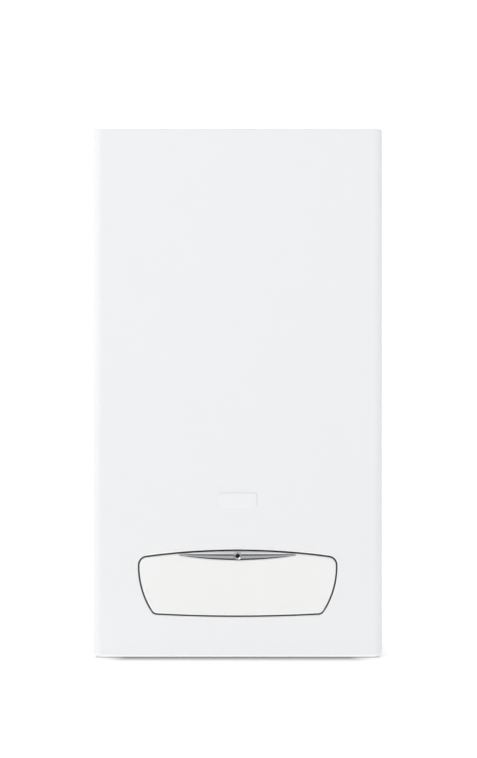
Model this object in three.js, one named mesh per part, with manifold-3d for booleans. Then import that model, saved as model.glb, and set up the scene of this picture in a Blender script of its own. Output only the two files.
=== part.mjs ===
// Wall-mounted gas boiler, in millimetres, +Z up, seen from the front along +Y.
// The wall is the plane y = 0 and the casing stands in front of it, towards -Y.
// Everything is laid out from the bottom edge of the casing, and the whole group is then
// moved so that the origin is the middle of the hanging bracket's rear face.
import * as THREE from 'three';
import { mergeVertices } from 'three/addons/utils/BufferGeometryUtils.js';
import Module from 'manifold-3d';

const wasm = await Module();
wasm.setup();

// Overall
const casingWidth = 400;
const casingHeight = 730;
const casingDepth = 299;
const sheet = 1;
const fit = 0.3;
const overrun = 5;

// Casing
const casingSideRadius = 12;
const casingBottomRadius = 5;
const casingCornerRadius = 6;
const casingTopRadius = 2;
const casingWallGap = 3;
const topFlangeWidth = 14;
const cornerReturnGap = 1.5;
const bottomLipWidth = 12;
const bottomLipHeight = 8;

// Flap and its opening
const flapHalfWidth = 136.9;
const flapWidestZ = 125;
const flapTopZ = 146.5;
const flapBottomZ = 55.1;
const flapTopRadius = 948;
const flapSideRadius = 105;
const flapBottomRadius = 2090;
const flapTopCornerRadius = 12;
const flapBottomCornerRadius = 9;
const flapGap = 2;
const flapThickness = 3;
const flapDepth = 9;
const flapRimThickness = 2.5;
const flapEdgeChamfer = 1.8;

// Grip and status window on the flap
const gripHalfChord = 80.4;
const gripDrop = 12.5;
const gripTipHeight = 2.2;
const gripPocketDepth = 2;
const gripRidge = 1.6;
const gripChordDrop = 5.7;
const statusRingRadius = 6;
const statusRingHeight = 1;
const statusLensRadius = 3;
const statusLensReach = 4;

// Flap hinge and catch
const hingePinRadius = 1;
const hingePinInset = 2.5;
const hingePinRise = 9;
const hingeBossRadius = 3.6;
const hingeBossLength = 8;
const hingeBossInset = 22;
const hingeEarGap = 2;
const hingeEarThickness = 2;
const hingeEarHeight = 16;
const hingeEarDepth = 9;
const hingeFootWidth = 18;
const hingeFootThickness = 1.5;
const catchWidth = 24;
const catchThickness = 1.7;
const catchReach = 5;
const catchHeight = 12;

// Badge plate
const badgeWidth = 53;
const badgeHeight = 20;
const badgeThickness = 1;
const badgeRadius = 4;
const badgeZ = 216;

// Wall bracket and frame
const bracketWidth = 300;
const bracketThickness = 2;
const bracketHeight = 36;
const bracketTopDrop = 54;
const hookDepth = 10;
const hookHeight = 10;
const bracketScrewRadius = 3.5;
const bracketScrewSpacing = 240;
const frameStandoff = 5;
const frameSideGap = 3;
const frameBottomZ = 24;
const frameFlangeDepth = 105;
const frameWindowHeight = 16;
const topRecess = 13;
const topTabHeight = 5;
const topTabLength = 8;
const topTabPlaceShares = [0.2, 0.8];
const tabSlotClearance = 1;
const panelFrontGap = 14;

// Connection plate and the five connections
const plateZ = 38;
const plateThickness = 1.5;
const plateRearRise = 22;
const plateFrontDrop = 18;
const tailSpacingShare = 0.15;
const tailY = -86;
const tailEndZ = 10;
const tailThreadRadius = 13.2;
const tailNeckRadius = 12.5;
const tailBoreRadius = 9;
const tailBoreDepth = 14;
const tailThreadLength = 18;
const smallTailRadius = 10.4;
const smallTailBoreRadius = 7;
const pipeWall = 2;
const groupFlangeRadius = 18;
const groupFlangeHeight = 14;
const groupRadius = 16;

// Sealed chamber
const chamberBottomZ = 290;
const chamberTopGap = 8;
const chamberRearY = -86;
const chamberFrontGap = 29;
const chamberFlangeWidth = 12;
const gasketThickness = 3;
const gasketWidth = 10;
const coverRibHeight = 3;
const coverRibWidth = 14;
const coverRibShares = [0.25, 0.75];
const sightGlassX = 70;
const sightGlassShare = 0.31;
const sightGlassRadius = 14;
const sightGlassFlange = 4;
const sightGlassThickness = 2.4;

// Burner, combustion chamber and heat exchanger, with heights and depths as shares of the sealed chamber's
const fireSideStep = 8;
const fireDepthShare = 0.652;
const fireRearStep = 3;
const fireBottomShare = 0.144;
const fireHeightShare = 0.263;
const liningThickness = 10;
const liningEndGap = 2;
const burnerBarCount = 12;
const burnerBarThickness = 8;
const burnerBarHeight = 26;
const burnerBarTopDrop = 6;
const burnerSideThickness = 2;
const burnerRailHeight = 5;
const manifoldSize = 12;
const manifoldGap = 11;
const manifoldRise = 34;
const jetRadius = 2.5;
const jetLength = 8;
const gasPipeRadius = 8;
const exchangerPipeGap = 32;
const exchangerDepthStep = 5;
const exchangerHeightShare = 0.144;
const exchangerCoreShare = 0.5;
const finCount = 22;
const finShare = 0.4;
const exchangerPortRadius = 10;
const exchangerPortLength = 4;
const electrodeRadius = 3.5;
const electrodeSpacing = 40;
const electrodeRise = 14;
const electrodeLength = 34;
const electrodeCollarRadius = 6;
const electrodeCollarLength = 4;
const electrodeTipRadius = 1.2;
const electrodeTipLength = 14;

// Fan and flue, with the fan's radii as shares of its largest one
const flueX = 0;
const hoodHeightShare = 0.072;
const hoodShoulderShare = 0.33;
const hoodNeckMargin = 13;
const hoodNeckRise = 11;
const hoodNeckShare = 0.406;
const hoodTopShares = [-0.8, 0.5];
const fanRiseShare = 0.172;
const fanDepthShare = 0.272;
const fanMaxShare = 0.158;
const fanMinShare = 0.788;
const fanTongueAngle = 70;
const fanWall = 1.5;
const fanOutletShare = 0.186;
const fanOutletWidthShare = 0.758;
const fanInletShare = 0.485;
const impellerShare = 0.667;
const impellerSideGap = 5;
const impellerBladeCount = 9;
const impellerBladeThickness = 2;
const impellerBladeDepth = 12;
const impellerPlateThickness = 2;
const impellerHubRadius = 8;
const fanShaftRadius = 4;
const fanShaftReach = 12;
const fanMotorShare = 0.485;
const fanMotorDepthShare = 0.217;
const flueRadius = 30;
const flueWall = 1.5;
const flueRise = 8;
const flueBaseMargin = 3;
const intakeRadius = 50;
const intakeRise = 6;
const intakeFlangeRadius = 62;
const intakeFlangeThickness = 2;
const intakeScrewRadius = 2.5;
const intakeScrewCount = 4;

// Air pressure switch
const switchSideGap = 70;
const switchShare = 0.837;
const switchRadius = 28;
const switchThickness = 22;
const switchRimThickness = 6;
const nippleRadius = 2.5;
const nippleLength = 6;
const nippleOffset = 8;
const tubeRadius = 3.5;
const tubeBend = 12;
const tubeTurnGap = 42;

// Expansion vessel
const vesselSideGap = 50;
const vesselTopDrop = 26;
const vesselRise = 40;
const vesselChamberGap = 6;
const vesselRadius = 40;
const vesselDome = 14;
const vesselSeam = 3;
const vesselStubRadius = 5;
const vesselStubBend = 12;
const vesselStubY = -40;

// Water side
const pumpArmGap = 7.98;
const pumpShare = 0.767;
const pumpDepth = 48;
const pumpWall = 5;
const pumpMotorShare = 0.87;
const pumpMotorBoxGap = 6.3;
const terminalShares = [0.16, 0.78];
const pumpPortRadius = 12;
const pumpPortLength = 8;
const pumpImpellerShare = 0.652;
const pumpImpellerWidth = 14;
const pumpShaftRadius = 3;
const pumpShaftReach = 20;
const pumpVaneCount = 6;
const ventPumpGap = 32;
const ventRadius = 11;
const ventHeight = 44;
const ventBossRadius = 8;
const ventBossRise = 55;
const ventCapRadius = 5;
const ventCapHeight = 7;
const armRadius = 8;
const reliefArmLength = 26;
const reliefArmRadius = 10;
const reliefZ = 74;
const reliefKnobRadius = 13;
const reliefKnobLength = 16;
const stemRadius = 3;
const stemReach = 8;
const fillingZ = 62;
const fillingArmLength = 34;
const fillingLinkRadius = 6;
const fillingLinkZ = 52;
const fillingKnobRadius = 14;
const fillingKnobLength = 16;
const coldGroupRadius = 13;
const coldGroupRise = 12;
const diverterRise = 32;
const actuatorWidth = 44;
const actuatorHeight = 52;
const actuatorBoxGap = 32.3;
const bonnetRadius = 12;
const bonnetReach = 24;
const plateExchangerShares = [-1.25, 1.667];
const plateExchangerReturnShare = 1.5;
const plateExchangerRearY = -14;
const plateExchangerTailGap = 24.3;
const plateExchangerBottomZ = 62;
const plateExchangerHeight = 74;
const plateExchangerPlateCount = 6;
const plateExchangerGroove = 1.5;
const plateExchangerPortLength = 4;
const plateExchangerFootWidth = 10;
const plateExchangerFootInset = 12;
const lowPortZ = 80;
const highPortZ = 118;
const waterPipeRadius = 9;
const waterPipeSideGap = 50;
const waterPipeBend = 22;
const waterPipeCrossDrop = 48;
const smallPipeRadius = 7.5;
const smallPipeBend = 11;

// Gas side
const gasValveWidth = 60;
const gasValveDepth = 56;
const gasValveTopGap = 28;
const gasValveBoxGap = 13;
const gasCoilRadius = 13;
const gasCoilHeight = 12;
const gasStubRadius = 12;
const gasStubLength = 4;
const gasInletShare = 0.48;
const gasPipeBend = 25;

// Control box, fascia and circuit board
const boxSideGap = 28;
const boxFrontGap = 34.4;
const boxDepthShare = 0.2475;
const boxBottomZ = 22;
const boxHeight = 150;
const boxWall = 2;
const fasciaThickness = 3;
const fasciaRadius = 6;
const clipSpacing = 200;
const clipWidth = 14;
const clipZ = 6;
const clipThickness = 2;
const boardSideGap = 22;
const boardEdgeGap = 17.5;
const boardThickness = 1.6;
const boardStandoff = 17;
const boardBossRadius = 4;
const boardBossInset = 10;
const boardPartHeight = 18;
const boardPartShares = [
  [-0.4, 0.25, 0.09],
  [-0.22, 0.3, 0.06],
  [-0.08, 0.3, 0.06],
  [0.06, 0.28, 0.05],
  [0.38, -0.3, 0.08],
];
const capacitorShares = [[0.16, 0.32], [-0.42, -0.3], [0.14, -0.36]];
const capacitorRadius = 6;
const potRadius = 9;
const potShaftGap = 8.7;
const glandSideGap = 22;
const glandRadius = 10;
const glandBoreRadius = 4;
const glandLength = 12;
const glandShankRadius = 7;
const glandShankLength = 6;

// Controls on the fascia
const controlsZ = 100;
const knobRadius = 17;
const knobDepth = 14;
const knobSkirt = 4;
const knobGripWidth = 9;
const knobGripInset = 0.8;
const knobShaftRadius = 3;
const knobShaftLength = 22;
const heatingKnobX = -88;
const hotWaterKnobX = -36;
const gaugeX = 92;
const gaugeRadius = 20;
const gaugeFlange = 3;
const gaugeFlangeThickness = 2.7;
const gaugeBodyLength = 24;
const gaugeWall = 1.5;
const gaugeDialDepth = 8;
const gaugeGlassThickness = 1.5;
const gaugeGlassSet = 0.3;
const needleLength = 14;
const needleTail = 4;
const needleWidth = 1.6;
const needleHubRadius = 2.5;
const needlePinRadius = 1;
const needlePinLength = 4;
const needleThickness = 1;
const needleLift = 2;
const windowX = 30;
const windowZ = 115;
const windowWidth = 44;
const windowHeight = 20;
const windowLip = 1;
const windowThickness = 0.7;
const windowBack = 2.5;
const rockerX = 17;
const rockerZ = 84;
const rockerSize = 16.8;
const rockerClearance = 0.8;
const rockerFront = 2.7;
const rockerDepth = 12;
const rockerPinRadius = 1.2;
const rockerPinLength = 1.6;
const rockerWellWall = 3;
const rockerWellDepth = 9;
const resetX = 45;
const resetZ = 84;
const resetRadius = 5.7;
const resetFront = 4.7;
const resetLength = 16;
const resetGuideWall = 2;
const resetGuideLength = 10;

// Roundness of turned pieces and of curved outlines
const fineSides = 24;
const plainSides = 16;
const smallSides = 8;
const nutSides = 6;
const arcSteps = 2;
const casingArcSteps = 3;
const flapArcSteps = 4;

// Places worked out from the sizes above
const halfWidth = casingWidth / 2;
const frontY = -casingDepth;
const frameHalfWidth = halfWidth - sheet - frameSideGap;
const innerHalfWidth = frameHalfWidth - sheet - fit;
const frameRearY = -frameStandoff;
const frameFaceY = frameRearY - sheet;
const panelTopZ = casingHeight - topRecess;
const panelBottomZ = panelTopZ - sheet;
const chamberTopZ = panelBottomZ - chamberTopGap;
const chamberHeight = chamberTopZ - chamberBottomZ;
const chamberFrontY = frontY + chamberFrontGap;
const chamberDepth = chamberRearY - chamberFrontY;
const tailSpacing = tailSpacingShare * casingWidth;
const hookZ = casingHeight - bracketTopDrop;
const bracketZ = hookZ - bracketHeight / 2;
const plateTopZ = plateZ + plateThickness;
const groupBottomZ = plateTopZ + fit;
const gasketFrontY = chamberFrontY - fit - gasketThickness;
const coverRearY = gasketFrontY - fit;
const coverFrontY = coverRearY - sheet;
const waterPipeX = halfWidth - waterPipeSideGap;
const waterPipeCrossZ = chamberBottomZ - waterPipeCrossDrop;
const exchangerWidth = 2 * (waterPipeX - exchangerPipeGap);
const fireWidth = exchangerWidth - 2 * fireSideStep;
const fireDepth = fireDepthShare * chamberDepth;
const exchangerDepth = fireDepth - 2 * exchangerDepthStep;
const fireCentreY = (chamberRearY + chamberFrontY) / 2 + fireRearStep;
const fireBottomZ = chamberBottomZ + fireBottomShare * chamberHeight;
const fireTopZ = fireBottomZ + fireHeightShare * chamberHeight;
const fireFrontY = fireCentreY - fireDepth / 2;
const exchangerBottomZ = fireTopZ + fit;
const exchangerTopZ = exchangerBottomZ + exchangerHeightShare * chamberHeight;
const exchangerZ = (exchangerBottomZ + exchangerTopZ) / 2;
const exchangerCoreHeight = exchangerCoreShare * (exchangerTopZ - exchangerBottomZ);
const exchangerPortX = exchangerWidth / 2 + exchangerPortLength;
const hoodBottomZ = exchangerTopZ + fit;
const hoodHeight = hoodHeightShare * chamberHeight;
const hoodTopZ = hoodBottomZ + hoodHeight;
const hoodShoulder = hoodShoulderShare * hoodHeight;
const fanMaxRadius = fanMaxShare * chamberHeight;
const fanMinRadius = fanMinShare * fanMaxRadius;
const fanInletRadius = fanInletShare * fanMaxRadius;
const fanMotorRadius = fanMotorShare * fanMaxRadius;
const impellerRadius = impellerShare * fanMaxRadius;
const fanOutletWidth = fanOutletWidthShare * fanMaxRadius;
const fanX = flueX + fanOutletWidth / 2 - fanMaxRadius;
const fanZ = hoodTopZ + fanRiseShare * chamberHeight;
const fanOutletZ = fanZ + fanOutletShare * chamberHeight;
const fanDepth = fanDepthShare * chamberDepth;
const fanMotorLength = fanMotorDepthShare * chamberDepth;
const impellerWidth = fanDepth - 2 * impellerSideGap;
const hoodRearY = fireCentreY + exchangerDepth / 2;
const hoodNeckY = hoodRearY - hoodNeckShare * exchangerDepth;
const fanRearY = hoodNeckY - fit;
const fanFrontY = fanRearY - fanDepth;
const flueY = (fanRearY + fanFrontY) / 2;
const switchX = halfWidth - switchSideGap;
const tubeTurnX = switchX - tubeTurnGap;
const vesselWidth = 2 * (halfWidth - vesselSideGap);
const vesselBottomZ = chamberBottomZ + vesselRise;
const vesselTopZ = hookZ - vesselTopDrop;
const vesselRearY = frameFaceY - fit;
const vesselFrontY = chamberRearY + vesselChamberGap;
const boxWidth = 2 * (halfWidth - boxSideGap);
const boxDepth = boxDepthShare * casingDepth;
const boxFrontY = frontY + boxFrontGap;
const boxRearY = boxFrontY + boxDepth;
const plateFrontY = boxRearY + fit;
const boardWidth = boxWidth - 2 * boardSideGap;
const boardHeight = boxHeight - 2 * boardEdgeGap;
const glandX = boxWidth / 2 - glandSideGap;
const fasciaRearY = boxFrontY - fit;
const fasciaFrontY = fasciaRearY - fasciaThickness;
const boxTopZ = boxBottomZ + boxHeight;
const boardRearY = boxRearY - boxWall - boardStandoff;
const boardFrontY = boardRearY - boardThickness;
const boardZ = boxBottomZ + boxHeight / 2;
const potFrontY = fasciaRearY - fasciaThickness + knobShaftLength + potShaftGap;
const gasValveBottomZ = boxTopZ + gasValveBoxGap;
const gasValveTopZ = chamberBottomZ - gasValveTopGap;
const gasInletZ = gasValveBottomZ + gasInletShare * (gasValveTopZ - gasValveBottomZ);
const hingeY = frontY + hingePinInset;
const hingeZ = flapBottomZ + hingePinRise;
const flapRearY = frontY + flapDepth;
const gripZ = flapTopZ - flapGap / 2 - gripChordDrop + fit;
const statusZ = gripZ - statusRingHeight;
const pumpX = 2 * tailSpacing;
const pumpRadius = pumpShare * tailSpacing;
const pumpMotorRadius = pumpMotorShare * pumpRadius;
const pumpImpellerRadius = pumpImpellerShare * pumpRadius;
const pumpFrontY = tailY - pumpDepth / 2;
const pumpRearY = tailY + pumpDepth / 2;
const pumpZ = lowPortZ + armRadius + pumpArmGap + pumpPortLength + pumpRadius;
const ventX = pumpX - ventPumpGap;
const ventBossTopZ = pumpZ + ventBossRise;
const coldGroupTopZ = highPortZ + coldGroupRise;
const diverterTopZ = highPortZ + diverterRise;
const plateExchangerFrontY = tailY + plateExchangerTailGap;
const plateExchangerEnds = plateExchangerShares.map((share) => share * tailSpacing);
const plateExchangerReturnX = plateExchangerReturnShare * tailSpacing;

// Finishes
const finishes = {
  enamel: { color: 0xf1f2f3, roughness: 0.35, metalness: 0 },
  whitePlastic: { color: 0xefefee, roughness: 0.45, metalness: 0 },
  silver: { color: 0xb4b6ba, roughness: 0.3, metalness: 0.8 },
  smokedLens: { color: 0x101012, roughness: 0.15, metalness: 0 },
  zincSteel: { color: 0xa9adb0, roughness: 0.45, metalness: 0.85 },
  steel: { color: 0xc4c6c8, roughness: 0.3, metalness: 0.9 },
  aluminium: { color: 0xb9bcbf, roughness: 0.5, metalness: 0.8 },
  copper: { color: 0xb87048, roughness: 0.35, metalness: 0.9 },
  brass: { color: 0xb5964f, roughness: 0.4, metalness: 0.9 },
  castIron: { color: 0x3d4144, roughness: 0.6, metalness: 0.4 },
  redPaint: { color: 0xa22a22, roughness: 0.45, metalness: 0 },
  darkPlastic: { color: 0x2c2e31, roughness: 0.55, metalness: 0 },
  greyPlastic: { color: 0x9a9ea2, roughness: 0.5, metalness: 0 },
  bluePlastic: { color: 0x2c5f96, roughness: 0.5, metalness: 0 },
  ceramic: { color: 0xe6e2d6, roughness: 0.9, metalness: 0 },
  rubber: { color: 0x33312f, roughness: 0.85, metalness: 0 },
  silicone: { color: 0xc9c4b4, roughness: 0.6, metalness: 0 },
  glass: { color: 0xdfe6e8, roughness: 0.05, metalness: 0 },
  boardGreen: { color: 0x1f5a3c, roughness: 0.5, metalness: 0 },
};

// A closed geometry as a solid that can be joined and cut
function solidOf(geometry) {
  const bare = geometry.clone();
  bare.deleteAttribute('normal');
  bare.deleteAttribute('uv');
  const merged = mergeVertices(bare);
  const points = merged.attributes.position.array;
  const source = merged.index.array;
  const triangles = [];
  for (let i = 0; i < source.length; i += 3) {
    const [a, b, c] = source.slice(i, i + 3);
    if (a !== b && b !== c && c !== a) triangles.push(a, b, c);
  }
  return new wasm.Manifold(new wasm.Mesh({
    numProp: 3,
    vertProperties: new Float32Array(points),
    triVerts: new Uint32Array(triangles),
  }));
}

function join(...bodies) {
  return bodies.reduce((whole, body) => whole.add(body));
}

function cut(body, ...tools) {
  return tools.reduce((rest, tool) => rest.subtract(tool), body);
}

// Turns that lay a shape's plane, and a lathe's axis, along the named axis
function turnBasis(...axes) {
  return new THREE.Matrix4().makeBasis(...axes.map((axis) => new THREE.Vector3(...axis)));
}

const shapeTurns = {
  x: turnBasis([0, 1, 0], [0, 0, 1], [1, 0, 0]),
  y: turnBasis([1, 0, 0], [0, 0, 1], [0, -1, 0]),
  z: turnBasis([1, 0, 0], [0, 1, 0], [0, 0, 1]),
};

const latheTurns = {
  x: turnBasis([0, 1, 0], [1, 0, 0], [0, 0, -1]),
  y: turnBasis([1, 0, 0], [0, 1, 0], [0, 0, 1]),
  z: turnBasis([1, 0, 0], [0, 0, 1], [0, -1, 0]),
};

// Where the two cross coordinates of an axis lie in space
function spread(axis, [first, second], along) {
  if (axis === 'x') return [along, first, second];
  if (axis === 'y') return [first, along, second];
  return [first, second, along];
}

// A block between pairs of coordinates
function block([x0, x1], [y0, y1], [z0, z1]) {
  const box = new THREE.BoxGeometry(x1 - x0, y1 - y0, z1 - z0);
  box.translate((x0 + x1) / 2, (y0 + y1) / 2, (z0 + z1) / 2);
  return solidOf(box);
}

// A round bar along an axis, between two places
function bar(axis, centre, radius, [from, to], sides = plainSides) {
  const rod = new THREE.CylinderGeometry(radius, radius, to - from, sides);
  rod.applyMatrix4(latheTurns[axis]);
  rod.translate(...spread(axis, centre, (from + to) / 2));
  return solidOf(rod);
}

// A ring or sleeve along an axis
function sleeve(axis, centre, outer, inner, [from, to], sides = plainSides) {
  const rod = bar(axis, centre, outer, [from, to], sides);
  return cut(rod, bar(axis, centre, inner, [from - overrun, to + overrun], sides));
}

// A turned piece: the profile is a list of [radius, place along the axis], from axis to axis
function turned(axis, centre, profile, sides = plainSides) {
  const points = profile.map(([radius, along]) => new THREE.Vector2(radius, along));
  const lathe = new THREE.LatheGeometry(points, sides);
  lathe.applyMatrix4(latheTurns[axis]);
  lathe.translate(...spread(axis, centre, 0));
  return solidOf(lathe);
}

// A turned piece made of plain steps: [[radius, from, to], ...]
function stepped(axis, centre, steps, sides = plainSides) {
  const profile = [[0, steps[0][1]]];
  for (const [radius, from, to] of steps) profile.push([radius, from], [radius, to]);
  profile.push([0, steps[steps.length - 1][2]]);
  return turned(axis, centre, profile, sides);
}

// A flat shape, thickened along an axis between two places
function slab(axis, shape, [from, to], curveSegments = arcSteps, bevel = 0) {
  const extruded = new THREE.ExtrudeGeometry(shape, {
    depth: to - from - 2 * bevel,
    curveSegments,
    steps: 1,
    bevelEnabled: bevel > 0,
    bevelThickness: bevel,
    bevelSize: bevel,
    bevelOffset: -bevel,
    bevelSegments: 1,
  });
  extruded.applyMatrix4(shapeTurns[axis]);
  const start = axis === 'y' ? to - bevel : from + bevel;
  extruded.translate(...spread(axis, [0, 0], start));
  return solidOf(extruded);
}

// A closed outline whose corners are [first, second, radius], counter-clockwise
function rounded(corners) {
  const shape = new THREE.Shape();
  const count = corners.length;
  corners.forEach(([x, y, radius], i) => {
    const here = new THREE.Vector2(x, y);
    if (!radius) {
      if (i === 0) shape.moveTo(x, y);
      else shape.lineTo(x, y);
      return;
    }
    const back = new THREE.Vector2(...corners[(i + count - 1) % count]).sub(here).normalize();
    const ahead = new THREE.Vector2(...corners[(i + 1) % count]).sub(here).normalize();
    const half = Math.acos(back.dot(ahead)) / 2;
    const middle = back.clone().add(ahead).normalize().multiplyScalar(radius / Math.sin(half)).add(here);
    const start = back.clone().multiplyScalar(radius / Math.tan(half)).add(here).sub(middle);
    const end = ahead.clone().multiplyScalar(radius / Math.tan(half)).add(here).sub(middle);
    if (i === 0) shape.moveTo(middle.x + start.x, middle.y + start.y);
    else shape.lineTo(middle.x + start.x, middle.y + start.y);
    const clockwise = back.cross(ahead) > 0;
    shape.absarc(middle.x, middle.y, radius, start.angle(), end.angle(), clockwise);
  });
  return shape;
}

function rectangle([x0, x1], [y0, y1], radius = 0) {
  return rounded([[x0, y0, radius], [x1, y0, radius], [x1, y1, radius], [x0, y1, radius]]);
}

// A route through corner points, each corner rounded by a bend, with a ring only where it turns
class PipeRoute extends THREE.Curve {
  constructor(corners, bend, bendSteps = 4) {
    super();
    this.places = [];
    this.headings = [];
    const points = corners.map((corner) => new THREE.Vector3(...corner));
    const last = points.length - 1;
    this.addStation(points[0], points[1].clone().sub(points[0]));
    for (let i = 1; i < last; i += 1) {
      const before = points[i].clone().sub(points[i - 1]).normalize();
      const after = points[i + 1].clone().sub(points[i]).normalize();
      const turn = before.angleTo(after);
      const setback = bend * Math.tan(turn / 2);
      const start = points[i].clone().addScaledVector(before, -setback);
      const inward = after.clone().addScaledVector(before, -after.dot(before)).normalize();
      for (let step = 0; step <= bendSteps; step += 1) {
        const angle = (turn * step) / bendSteps;
        const place = start.clone();
        place.addScaledVector(before, bend * Math.sin(angle));
        place.addScaledVector(inward, bend * (1 - Math.cos(angle)));
        const heading = before.clone().multiplyScalar(Math.cos(angle));
        this.addStation(place, heading.addScaledVector(inward, Math.sin(angle)));
      }
    }
    this.addStation(points[last], points[last].clone().sub(points[last - 1]));
  }

  addStation(place, heading) {
    this.places.push(place.clone());
    this.headings.push(heading.clone().normalize());
  }

  get stepCount() {
    return this.places.length - 1;
  }

  getPointAt(share, target = new THREE.Vector3()) {
    return target.copy(this.places[Math.round(share * this.stepCount)]);
  }

  getTangentAt(share, target = new THREE.Vector3()) {
    return target.copy(this.headings[Math.round(share * this.stepCount)]);
  }
}

function pipe(corners, radius, bend, sides = smallSides) {
  const route = new PipeRoute(corners, bend);
  const section = new THREE.Shape();
  for (let i = 0; i < sides; i += 1) {
    const angle = (2 * Math.PI * i) / sides;
    if (i === 0) section.moveTo(radius * Math.cos(angle), radius * Math.sin(angle));
    else section.lineTo(radius * Math.cos(angle), radius * Math.sin(angle));
  }
  return solidOf(new THREE.ExtrudeGeometry(section, { steps: route.stepCount, extrudePath: route }));
}

// An open-ended rectangular tube of sheet along z
function duct([x0, x1], [y0, y1], [z0, z1], wall) {
  const inner = block([x0 + wall, x1 - wall], [y0 + wall, y1 - wall], [z0 - overrun, z1 + overrun]);
  return cut(block([x0, x1], [y0, y1], [z0, z1]), inner);
}

const boiler = new THREE.Group();

function addPiece(name, finish, body) {
  const { vertProperties, triVerts, numProp } = body.getMesh();
  const geometry = new THREE.BufferGeometry();
  const places = new Float32Array((vertProperties.length / numProp) * 3);
  for (let i = 0; i < places.length / 3; i += 1) {
    places.set(vertProperties.subarray(i * numProp, i * numProp + 3), i * 3);
  }
  geometry.setAttribute('position', new THREE.BufferAttribute(places, 3));
  geometry.setIndex(new THREE.BufferAttribute(new Uint32Array(triVerts), 1));
  geometry.computeVertexNormals();
  const piece = new THREE.Mesh(geometry, new THREE.MeshStandardMaterial(finishes[finish]));
  piece.name = name;
  boiler.add(piece);
}

// The casing's form, drawn in by the given amount: rounded front edges, bottom edge and corners
function casingForm(inset, rearY) {
  const side = halfWidth - inset;
  const front = frontY + inset;
  const low = inset;
  const high = casingHeight - inset;
  const sideRadius = casingSideRadius - inset;
  const topRadius = casingTopRadius - inset;
  const plan = rounded([
    [-side, front, sideRadius],
    [side, front, sideRadius],
    [side, rearY, 0],
    [-side, rearY, 0],
  ]);
  const profile = rounded([
    [front, low, casingBottomRadius - inset],
    [rearY, low, 0],
    [rearY, high, 0],
    [front, high, topRadius],
  ]);
  const elevation = rounded([
    [-side, low, casingCornerRadius - inset],
    [side, low, casingCornerRadius - inset],
    [side, high, topRadius],
    [-side, high, topRadius],
  ]);
  return slab('z', plan, [low, high], casingArcSteps)
    .intersect(slab('x', profile, [-side, side], casingArcSteps))
    .intersect(slab('y', elevation, [front, rearY], casingArcSteps));
}

// The arched outline of the flap gap's centre line, moved out or in by an offset
function flapOutline(offset) {
  const top = { x: 0, z: flapTopZ - flapTopRadius, radius: flapTopRadius };
  const bottom = { x: 0, z: flapBottomZ + flapBottomRadius, radius: flapBottomRadius };
  const side = { x: flapHalfWidth - flapSideRadius, z: flapWidestZ, radius: flapSideRadius };
  const upper = tangentCorner(top, side, flapTopCornerRadius);
  const lower = tangentCorner(bottom, side, flapBottomCornerRadius);
  const shape = new THREE.Shape();
  const angleTo = (from, to) => Math.atan2(to.z - from.z, to.x - from.x);
  const topAngle = angleTo(top, upper);
  const sideHigh = angleTo(side, upper);
  const sideLow = angleTo(side, lower);
  const bottomAngle = angleTo(bottom, lower);
  const arc = (circle, from, to, mirror = 1) => {
    shape.absarc(mirror * circle.x, circle.z, circle.radius + offset, from, to, false);
  };
  arc(lower, bottomAngle, sideLow);
  arc(side, sideLow, sideHigh);
  arc(upper, sideHigh, topAngle);
  arc(top, topAngle, Math.PI - topAngle);
  arc(upper, Math.PI - topAngle, Math.PI - sideHigh, -1);
  arc(side, Math.PI - sideHigh, Math.PI - sideLow, -1);
  arc(lower, Math.PI - sideLow, Math.PI - bottomAngle, -1);
  arc(bottom, -Math.PI - bottomAngle, bottomAngle);
  return shape;
}

// A small circle inside two large ones and tangent to both
function tangentCorner(large, side, radius) {
  const reachLarge = large.radius - radius;
  const reachSide = side.radius - radius;
  const dx = side.x - large.x;
  const dz = side.z - large.z;
  const apart = Math.hypot(dx, dz);
  const along = (reachLarge ** 2 - reachSide ** 2 + apart ** 2) / (2 * apart);
  const across = Math.sqrt(reachLarge ** 2 - along ** 2);
  const x = large.x + (along * dx) / apart + (across * Math.abs(dz)) / apart;
  const z = large.z + (along * dz) / apart - (across * dx * Math.sign(dz)) / apart;
  return { x, z, radius };
}

// The grip's lens outline: the flap's top edge above, a flat arc below, drawn in by an inset
function gripOutline(inset) {
  const topRadius = flapTopRadius - flapGap / 2;
  const topCentre = flapTopZ - flapTopRadius;
  const topAt = (x) => topCentre + Math.sqrt(topRadius ** 2 - x ** 2);
  const lowerEdge = flapTopZ - flapGap / 2 - gripDrop;
  const rise = topAt(gripHalfChord) - gripTipHeight - lowerEdge;
  const lowerRadius = (gripHalfChord ** 2 + rise ** 2) / (2 * rise);
  const reach = gripHalfChord - inset;
  const topAngle = Math.acos(reach / topRadius);
  const shape = new THREE.Shape();
  shape.absarc(0, topCentre, topRadius, topAngle, Math.PI - topAngle, false);
  const lowerCentre = lowerEdge + inset + lowerRadius;
  const tipZ = lowerCentre - Math.sqrt(lowerRadius ** 2 - reach ** 2);
  const tipAngle = Math.atan2(tipZ - lowerCentre, reach);
  if (tipZ < topAt(reach)) shape.lineTo(-reach, tipZ);
  shape.absarc(0, lowerCentre, lowerRadius, -Math.PI - tipAngle, tipAngle, false);
  return shape;
}

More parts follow.
